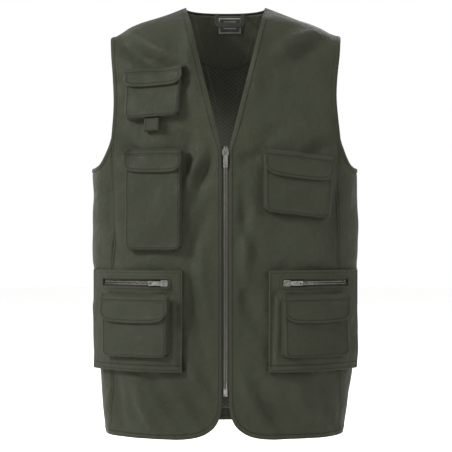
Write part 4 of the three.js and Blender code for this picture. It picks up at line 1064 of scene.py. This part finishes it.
def flap_cloth(name, place, width, flap, front, seed):
    half, outline, lift = flap_shape(width, flap, front, seed)
    inner = np.linspace(-half + 2.4, half - 2.4, 44)
    u = np.concatenate([[-half, -half + 0.4, -half + 1.1], inner, [half - 1.1, half - 0.4, half]])[None, :]
    share = np.concatenate([np.linspace(0, 1, 22)[:-1], [0.965, 0.985, 1.0]])
    upper = np.array([8.0, 7.6, 7.0, 6.0, 5.0, 4.0, 3.0, 2.0, 1.0])[:, None]
    lower = -share[:, None] * outline(u)
    v = np.concatenate([upper + 0 * u, lower])
    u = np.broadcast_to(u, v.shape)
    g = settle(place.at(u, v, lift(u, v)))
    rim = np.minimum(half - np.abs(u), outline(u) + v)
    edge = np.maximum(rim, 0) * 1.6
    edge = np.where(np.abs(v + 2.0) < 3.5, 8 + (v + 2.0) * 1.2, edge)
    body = f"{name}_flap"
    piece, _, _ = cloth(f"{name}_flap_cloth", g, 1.6, "shell_twill", flap_twill_painted_shade, None, [body], edge)
    bends[body] = [tuple(place.at(0, v, 2.0) / 1000) for v in (FLAP_RISE + 1, FLAP_RISE - 9)]
    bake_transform(piece)
    for points in (
        [(-half + 2, 6.4), (half - 2, 6.4)],
        [(-half + 2, -2.0), (half - 2, -2.0)],
    ):
        line = resample(np.array([(a, 0, b) for a, b in points], float), 2.0)
        p = settle(place.at(line[:, 0], line[:, 2], lift(line[:, 0], line[:, 2])))
        stitch(p, np.broadcast_to(place.out, p.shape), body)
    turn = np.linspace(-1, 1, 90) * (half - 5)
    line = np.stack([turn, 0 * turn, -outline(turn) + 5], axis=1)
    left = np.array([[-half + 5, 0, -4.5], line[0]])
    right = np.array([line[-1], [half - 5, 0, -4.5]])
    line = resample(np.concatenate([left[:1], line, right[1:]]), 2.0)
    p = settle(place.at(line[:, 0], line[:, 2], lift(line[:, 0], line[:, 2])))
    stitch(p, np.broadcast_to(place.out, p.shape), body)
    return piece


def fastener(name, place, width, flap, front, low, high, node, body):
    v0 = -0.3 * flap
    v = np.linspace(v0, v0 - 14, 10)[:, None]
    u = np.linspace(-0.3 * width, 0.3 * width, 30)[None, :]
    g = settle(place.at(u + 0 * v, v + 0 * u, front(u, v) + high))
    cloth(name, g, high - low, "hook_and_loop", hook_and_loop, body, [node], np.full(g.shape[:2], 99.0))


def flapped_pouch(name, place, width, height, flap, front, seed, plump):
    """Pouch, flap and hook-and-loop tapes of one pocket."""
    half = width / 2

    def swell(u, v):
        below = smooth((-v - flap) / (0.3 * height)) * smooth((height + v) / (0.25 * height))
        side = 1 - (np.abs(u) / half) ** 2.5
        wave = 0.7 * np.sin(u / 13.0 + seed) * np.sin(v / 17.0 + 1.7 * seed)
        return (plump + wave) * below * np.maximum(side, 0)

    flap_body = f"{name}_flap"
    pouch_cloth(f"{name}_pouch_cloth", place, width, height, front, swell, pocket_twill_painted_shade, [f"{name}_pouch"])
    flap_cloth(name, place, width, flap, front, seed)
    eighth = FLAP_GAP / 8
    fastener(f"{name}_loop_pile", place, width, flap, front, eighth, 3.5 * eighth, f"{name}_loop_tape",
             "vest")
    fastener(f"{name}_hook_pile", place, width, flap, front, 4.5 * eighth, 7 * eighth, f"{name}_hook_tape",
             flap_body)
    arc = [(half - 12 + 8 * math.cos(a), -height + 12 - 8 * math.sin(a))
           for a in np.linspace(0, math.pi / 2, 7)]
    corners = [(half - 4, -0.5 * flap)] + arc + [(-a, b) for a,
                                                 b in reversed(arc)] + [(-half + 4, -0.5 * flap)]
    stitch(*face_path(place, front, swell, corners))
    return swell


# Name, middle across, top, width, height, tilt, flap height, seed of the waves, plumpness.
CHEST = (
    ("upper_chest", -120, 123, 93, 80, 3.5, 28, 0.4, 1.6),
    ("lower_chest", -119, 260, 95, 162, 0, 33, 1.9, 3.2),
    ("left_chest", 120, 266, 117, 98, -6.3, 37, 3.3, 2.4),
)
places = {}
for name, x, top, width, height, tilt, flap, seed, plump in CHEST:
    place = places[name] = body_place(x, top, height, tilt)
    flapped_pouch(name, place, width, height, flap, lambda u, v, h=height: 10.5 + 1.5 * -v / h + 0 * u,
                  seed, plump)

# Tool loop: a tape folded double under the upper pouch, open from side to side.
place = places["upper_chest"]
TAB_LENGTH = 22
TAB_HALF = 12.5
tab_top = -80 - LAYER_GAP - 0.4
tab_gap = 7.0
wall = 1.2
tab_out = float(place.under(0.0, tab_top)) + LAYER_GAP + tab_gap / 2 + 1.6
outer_half = tab_gap / 2 + wall
ring = []
for t in np.linspace(0, 1, 14):
    ring.append((outer_half, -t * (TAB_LENGTH - outer_half)))
for a in np.linspace(0, math.pi, 15)[1:-1]:
    ring.append((outer_half * math.cos(a), -TAB_LENGTH + outer_half - outer_half * math.sin(a)))
for t in np.linspace(1, 0, 14):
    ring.append((-outer_half, -t * (TAB_LENGTH - outer_half)))
for t in np.linspace(-1, 1, 8)[1:-1]:
    ring.append((t * outer_half, 0.0))
ring = np.array(ring)
u = np.concatenate([[-TAB_HALF, -12.0, -11.2], np.linspace(-10, 10, 14), [11.2, 12.0, TAB_HALF]])
g = place.at(u[None, :], tab_top + ring[:, 1:2], tab_out + ring[:, :1])
n_ring = np.roll(ring, -1, axis=0) - np.roll(ring, 1, axis=0)
n_ring = np.stack([-n_ring[:, 1], n_ring[:, 0]], axis=1)
n_ring /= np.linalg.norm(n_ring, axis=1, keepdims=True)
if np.sum(n_ring * (ring - ring.mean(axis=0))) < 0:
    n_ring = -n_ring
normals = n_ring[:, :1, None] * place.out + n_ring[:, 1:, None] * place.up
normals = np.broadcast_to(normals, g.shape)
edge = np.broadcast_to((TAB_HALF - np.abs(u)) * 3.0, g.shape[:2])
cloth("tool_loop_tape", g, wall, "trim_twill", trim_twill, "tool_loop", ["tool_loop"], edge,
      normals=normals, loop=True)
for off in (-9.9, 9.9):
    v = np.linspace(-2, -17, 12)
    p = place.at(off, tab_top + v, tab_out + outer_half)
    stitch(p, np.broadcast_to(place.out, p.shape), "tool_loop", pitch=2.8, length=2.0, radius=0.3)

# ---------- Hip pockets ----------
BAG_TOP = BODY_LENGTH - 283
BAG_HEIGHT = 169
SLIT_BELOW = 21                # from the bag's top to the slit's middle
HEM_ROW_BELOW = 157            # from the bag's top to its lower row of stitching
SLIT_DROP = BAG_TOP + SLIT_BELOW
SLIT_HEIGHT = 12.2
SLIT_FROM, SLIT_TO = math.radians(4.5), math.radians(48.5)


def bag_circle():
    xs, depths = (70, (70 + 219) / 2 + 5, 219), (10, 13, 9)
    p, q, r = (lifted(on_body(float(x), BAG_TOP + BAG_HEIGHT / 2, -1), d) for x, d in zip(xs, depths))
    a, b = q - p, r - p
    aa, bb = a[0] ** 2 + a[1] ** 2, b[0] ** 2 + b[1] ** 2
    area = 2 * (a[0] * b[1] - a[1] * b[0])
    x = p[0] + (b[1] * aa - a[1] * bb) / area
    y = p[1] + (a[0] * bb - b[0] * aa) / area
    return x, y, math.hypot(p[0] - x, p[1] - y), math.atan2(p[0] - x, y - p[1]), math.atan2(r[0] - x,
                                                                                            y - r[1])


BAG_X, BAG_Y, BAG_R, BAG_FIRST, BAG_LAST = bag_circle()
SLIT_RUN = (SLIT_TO - SLIT_FROM) * BAG_R


def on_bag(s, angle, drop, w):
    angle, drop, w = np.broadcast_arrays(np.asarray(angle, float), np.asarray(drop, float),
                                         np.asarray(w, float))
    out = np.stack([s * np.sin(angle), -np.cos(angle), 0 * angle], axis=-1)
    start = np.stack([s * BAG_X + 0 * drop, BAG_Y + 0 * drop, -drop], axis=-1)
    return start + out * (BAG_R + w)[..., None]


def bag_out(s, angle):
    angle = np.asarray(angle, float)
    return np.stack([s * np.sin(angle), -np.cos(angle), 0 * angle], axis=-1)


def teeth(name, track, start, end, side, node, body="vest"):
    """Separate teeth on one side of a zip; each is a tapered block with a rounded head."""
    stations = [(0.45, 0.36, 0.85), (0.95, 0.58, 1.25), (1.9, 0.62, 1.38), (2.55, 0.5, 1.30),
                (3.0, 0.42, 1.0)]
    shift = TOOTH_PITCH / 2 if side < 0 else 0.0
    middles = np.arange(start + shift + 0.9, end - 0.5, TOOTH_PITCH)
    points, faces = [], []
    for m in middles:
        first = len(points)
        for b, along_half, thick in stations:
            for da, dw in ((-1, -1), (1, -1), (1, 1), (-1, 1)):
                points.append((m + da * along_half, side * b, CHAIN_LIFT + dw * thick))
        for k in range(len(stations) - 1):
            for c in range(4):
                i, j = first + 4 * k + c, first + 4 * k + (c + 1) % 4
                faces.append((i, j, j + 4, i + 4))
        faces.append(tuple(first + c for c in (3, 2, 1, 0)))
        faces.append(tuple(first + 4 * (len(stations) - 1) + c for c in (0, 1, 2, 3)))
    points = np.array(points)
    flat = track(points[:, 0], points[:, 1], points[:, 2])
    faces = outward_faces(flat, faces)
    obj = make(name, flat, faces, "zip_metal", teeth_metal, body, [node], smooth_faces=False)
    return obj


def outward_faces(points, faces):
    volume = 0.0
    for f in faces[: 6 * 40]:
        for i in range(1, len(f) - 1):
            volume += np.dot(points[f[0]], np.cross(points[f[i]], points[f[i + 1]]))
    return faces if volume > 0 else [f[::-1] for f in faces]


def tape_strip(name, track, start, end, side, width, node, count=80):
    a = np.linspace(start, end, count)[:, None]
    b = np.linspace(3.5, 3.5 + width, 10)[None, :] * side
    g = track(a + 0 * b, b + 0 * a, np.full((count, 10), TAPE_TOP))
    back = track(a + 0 * b, b + 0 * a, np.full((count, 10), TAPE_TOP - 1))
    n = g - back
    cloth(name, g, THIN, "zip_tape", zip_tape, "vest", [node], np.full(g.shape[:2], 99.0), normals=n)


def main_track(a, b, w):
    return np.stack([b + 0 * a, -CHEST_DEPTH - w + 0 * a, -V_BOTTOM - a], axis=-1)


for name, s in SIDES:
    row_end = ZIP_LENGTH - (13.5 if s < 0 else 25.5)
    tape_strip(f"{name}_zip_tape_cloth", main_track, -4, ZIP_LENGTH + 1, s, 14, f"{name}_zip_tape", 120)
    teeth(f"{name}_main_teeth", main_track, 1.5, row_end, s, f"{name}_zip_teeth")


def bag_swell(u, v, s):
    """Fullness of a hip bag, none beside its zip."""
    half = (BAG_LAST - BAG_FIRST) * BAG_R / 2
    below = smooth((-v - 40) / 30) * smooth((BAG_HEIGHT + v) / 30)
    side = 1 - (np.abs(u) / half) ** 4
    wave = 1.2 * np.sin(u / 19.0 + 1.3 * s) * np.sin(v / 24.0 + 0.7)
    corner = -4.0 * np.exp(-(((u + half - 16) / 9) ** 2) - (((v + 46) - 0.4 * (u + half)) / 16) ** 2)
    run = smooth((-v - 34) / 20) * smooth((BAG_HEIGHT + v - 4) / 14)

    def ridge(at, wide):
        return np.exp(-(((u + half - at - 0.03 * v) / wide) ** 2))

    pleat = (-3.2 * ridge(11, 2.4) + 1.6 * ridge(17, 4)) * run
    return (1.6 + wave) * below * np.maximum(side, 0) + corner + pleat


for name, s in SIDES:
    middle = (BAG_FIRST + BAG_LAST) / 2
    width = (BAG_LAST - BAG_FIRST) * BAG_R
    half = width / 2
    across, rows = pouch_axes(half, BAG_HEIGHT, True)
    slit_u = [(SLIT_FROM - middle) * BAG_R, (SLIT_TO - middle) * BAG_R]
    slit_v = [-SLIT_BELOW + SLIT_HEIGHT / 2, -SLIT_BELOW - SLIT_HEIGHT / 2]
    keep = np.array([all(abs(a - b) > 1.2 or d < 1 for b in slit_u) for a, d in across])
    across = np.concatenate([across[keep], [[slit_u[0], 1.0], [slit_u[1], 1.0]]])
    left = across[(across[:, 1] < 1) & (across[:, 0] < 0)]
    mid = across[across[:, 1] == 1]
    right = across[(across[:, 1] < 1) & (across[:, 0] > 0)]
    across = np.concatenate([left, mid[np.argsort(mid[:, 0])], right])
    keep = np.array([all(abs(a - b) > 1.2 or d < 1 for b in slit_v) for a, d in rows])
    rows = np.concatenate([rows[keep], [[slit_v[0], 1.0], [slit_v[1], 1.0]]])
    full = rows[rows[:, 1] == 1]
    top_rows = rows[(rows[:, 1] < 1) & (rows[:, 0] > -50)]
    bottom_rows = rows[(rows[:, 1] < 1) & (rows[:, 0] < -50)]
    rows = np.concatenate([top_rows, full[np.argsort(-full[:, 0])], bottom_rows])
    c0, c1 = (int(np.argmin(np.abs(across[:, 0] - b) + (across[:, 1] < 1) * 99)) for b in slit_u)
    r0, r1 = (int(np.argmin(np.abs(rows[:, 0] - b) + (rows[:, 1] < 1) * 99)) for b in slit_v)
    u, v = np.broadcast_arrays(across[None, :, 0], rows[:, None, 0])
    d = across[None, :, 1] * rows[:, None, 1]
    angle = middle + u / BAG_R
    start = np.stack([s * BAG_X + 0 * v, BAG_Y + 0 * v, -(BAG_TOP - v)], axis=-1)
    base = ray_to_body(start, bag_out(s, angle), 1.5 * BAG_R) - BAG_R + LAYER_GAP
    w = base * (1 - d) + bag_swell(u, v, s) * d
    g = settle(on_bag(s, angle, BAG_TOP - v, w))
    rim = np.minimum(np.minimum(half - np.abs(u), BAG_HEIGHT + v), -v)
    edge = np.maximum(rim, 0) * 2.0
    edge = np.where(np.abs(v + HEM_ROW_BELOW) < 3.5, 8 + (v + HEM_ROW_BELOW), edge)
    cloth(f"{name}_hip_bag_cloth", g, CLOTH, "shell_twill", shell_twill, "vest", [], edge,
          holes=[(r0, r1, c0, c1)])
    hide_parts(f"{name}_hip_bag")

    def bag_seam(points, lift=0.0, s=s, middle=middle):
        line = resample(np.array([(a, 0, b) for a, b in points], float), 2.0)
        turn = middle + line[:, 0] / BAG_R
        p = settle(on_bag(s, turn, BAG_TOP - line[:, 2], bag_swell(line[:, 0], line[:, 2], s) + lift))
        stitch(p, bag_out(s, turn))

    u0, u1, v0, v1 = -half + 4, half - 4, -BAG_HEIGHT + 4, -4
    bag_seam([(u0, v1), (u0, v0), (u1, v0), (u1, v1), (u0, v1)])
    bag_seam([(u0, -HEM_ROW_BELOW), (u1, -HEM_ROW_BELOW)])
    out_w, out_h = 5.6, SLIT_HEIGHT / 2 + 5.6
    u0, u1 = slit_u[0] - out_w, slit_u[1] + out_w
    v0, v1 = -SLIT_BELOW - out_h, -SLIT_BELOW + out_h
    frame_line = [(u0, v0 + 3), (u0 + 3, v0), (u1 - 3, v0), (u1, v0 + 3), (u1, v1 - 3), (u1 - 3, v1),
                  (u0 + 3, v1), (u0, v1 - 3), (u0, v0 + 3)]
    bag_seam(frame_line)

    # Welt: a rounded frame of cloth round the slit.
    hx, hz, radius = SLIT_RUN / 2 + 2.0, SLIT_HEIGHT / 2 + 2.0, 4.5
    loop = []
    for cx, cz, a0 in ((hx - radius, hz - radius, 0), (-hx + radius, hz - radius, 90),
                       (-hx + radius, -hz + radius, 180),
                       (hx - radius, -hz + radius, 270)):
        for a in np.linspace(a0, a0 + 90, 8):
            loop.append((cx + radius * math.cos(math.radians(a)), cz + radius * math.sin(math.radians(a))))
    loop = np.array(loop)
    filled = []
    for i in range(len(loop)):
        p, q = loop[i], loop[(i + 1) % len(loop)]
        count = max(1, int(np.hypot(*(q - p)) / 3))
        filled += [p + (q - p) * k / count for k in range(count)]
    loop = np.array(filled)
    turn = np.roll(loop, -1, axis=0) - np.roll(loop, 1, axis=0)
    sideways = np.stack([turn[:, 1], -turn[:, 0]], axis=1)
    sideways /= np.linalg.norm(sideways, axis=1, keepdims=True)
    section = [(2.0 * math.cos(a), 1.05 * math.sin(a) - 0.1) for a in np.arange(12) * math.pi / 6]
    centre_u = (slit_u[0] + slit_u[1]) / 2
    points = []
    for reach, high in section:
        at = loop + sideways * reach
        points.append(on_bag(s, middle + (centre_u + at[:, 0]) / BAG_R, SLIT_DROP - at[:, 1],
                             np.full(len(at), high)))
    points = np.stack(points, axis=1)
    rows_n, cols_n = points.shape[:2]

    def vertex(r, c):
        return (r % rows_n) * cols_n + c % cols_n

    faces = [(vertex(r, c), vertex(r + 1, c), vertex(r + 1, c + 1), vertex(r, c + 1))
             for r in range(rows_n) for c in range(cols_n)]
    flat = points.reshape(-1, 3)
    first = faces[0]
    outward = np.cross(flat[first[1]] - flat[first[0]], flat[first[2]] - flat[first[0]])
    if np.dot(outward, flat[first[0]] - points[0].mean(axis=0)) < 0:
        faces = [f[::-1] for f in faces]
    make(f"{name}_hip_welt", flat, faces, "shell_twill", flap_twill_painted_shade, "vest", [], np.full(len(flat), 99.0))

    def track(a, b, w, s=s):
        return on_bag(s, SLIT_FROM + a / BAG_R, SLIT_DROP - b, w)

    for part, side in (("upper", 1), ("lower", -1)):
        tape_strip(f"{name}_hip_{part}_tape_cloth", track, -5, SLIT_RUN + 5, side, 9,
                   f"{name}_hip_zip_{part}_tape", 50)
        teeth(f"{name}_hip_{part}_teeth_row", track, 1.5, SLIT_RUN - 1.5, side,
              f"{name}_hip_zip_{part}_teeth")

    turn = math.radians(24.5)
    out = np.array([s * math.sin(turn), -math.cos(turn), 0])
    across_dir = np.array([math.cos(turn), s * math.sin(turn), 0])
    origin = on_bag(s, turn, BAG_TOP + 47, 0.0)
    hip_place = Place(origin, across_dir, np.array([0, 0, 1.0]), out,
                      lambda u, v: np.sqrt(BAG_R**2 - np.asarray(u, float) ** 2) - BAG_R + 0 * v)
    hip_front = lambda u, v: 8.0 + 2 * -v / 97 - u**2 / 660
    flapped_pouch(f"{name}_hip", hip_place, 121, 97, 40, hip_front, 4.1 + s, 1.8)

# ---------- Metal pieces keep their CAD shape ----------
for node in ("zip_slider", "zip_pull", "right_zip_top_stop", "left_zip_top_stop", "zip_retainer_box",
             "zip_insert_pin",
             "right_hip_zip_slider", "right_hip_zip_pull", "left_hip_zip_slider", "left_hip_zip_pull"):
    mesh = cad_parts[node].data
    mesh.materials.clear()
    mesh.materials.append(nickel)

# ---------- Threads ----------
pattern = stitch_faces()
for body, groups in seams.items():
    points = np.concatenate(groups).reshape(-1, 17, 3)
    faces = [tuple(17 * i + k for k in f) for i in range(len(points)) for f in pattern]
    sewing = make(f"{body}_threads", points.reshape(-1, 3), faces, "trim_twill", thread_painted_shade,
                  None if body in bends else body)
    if body in bends:
        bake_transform(sewing)


# ---------- Studio ----------
FLOOR_Z = -0.90
bpy.ops.mesh.primitive_circle_add(vertices=96, radius=9, fill_type="NGON", location=(0, 0, FLOOR_Z))
floor = bpy.context.object
floor.name = "floor"
paint = Shader("floor_paint")
floor.data.materials.append(paint.finish((0.97, 0.97, 0.965, 1), roughness=0.9, specular=0.05))

world = bpy.data.worlds.new("studio")
bpy.context.scene.world = world
world.use_nodes = True
world.node_tree.nodes["Background"].inputs["Color"].default_value = (1, 1, 1, 1)
world.node_tree.nodes["Background"].inputs["Strength"].default_value = 1.0


def area(name, place, aim, size, power):
    data = bpy.data.lights.new(name, "AREA")
    data.shape = "SQUARE"
    data.size = size
    data.energy = power
    lamp = bpy.data.objects.new(name, data)
    bpy.context.scene.collection.objects.link(lamp)
    lamp.location = place
    lamp.rotation_euler = (Vector(aim) - Vector(place)).to_track_quat("-Z", "Y").to_euler()


area("key", (-2.0, -1.5, 1.0), (0, 0, -0.35), 0.6, 115)
area("fill", (1.9, -1.7, 0.5), (0, 0, -0.4), 0.8, 26)
area("rim", (0.9, 2.0, 1.2), (0, 0, -0.3), 1.0, 30)
area("left_back", (-1.8, 1.7, 0.5), (0, 0, -0.4), 1.0, 18)

camera_data = bpy.data.cameras.new("camera")
camera_data.sensor_width = 36
camera_data.lens = 105.6
camera_data.clip_end = 60
camera = bpy.data.objects.new("camera", camera_data)
bpy.context.scene.collection.objects.link(camera)
camera.location = (0.0008, -2.322, -0.382)
camera.rotation_euler = (math.pi / 2, 0, 0)
bpy.context.scene.camera = camera
bpy.context.scene.view_settings.view_transform = "Standard"


for side, _ in SIDES:
    front = f"{side}_front_cloth"
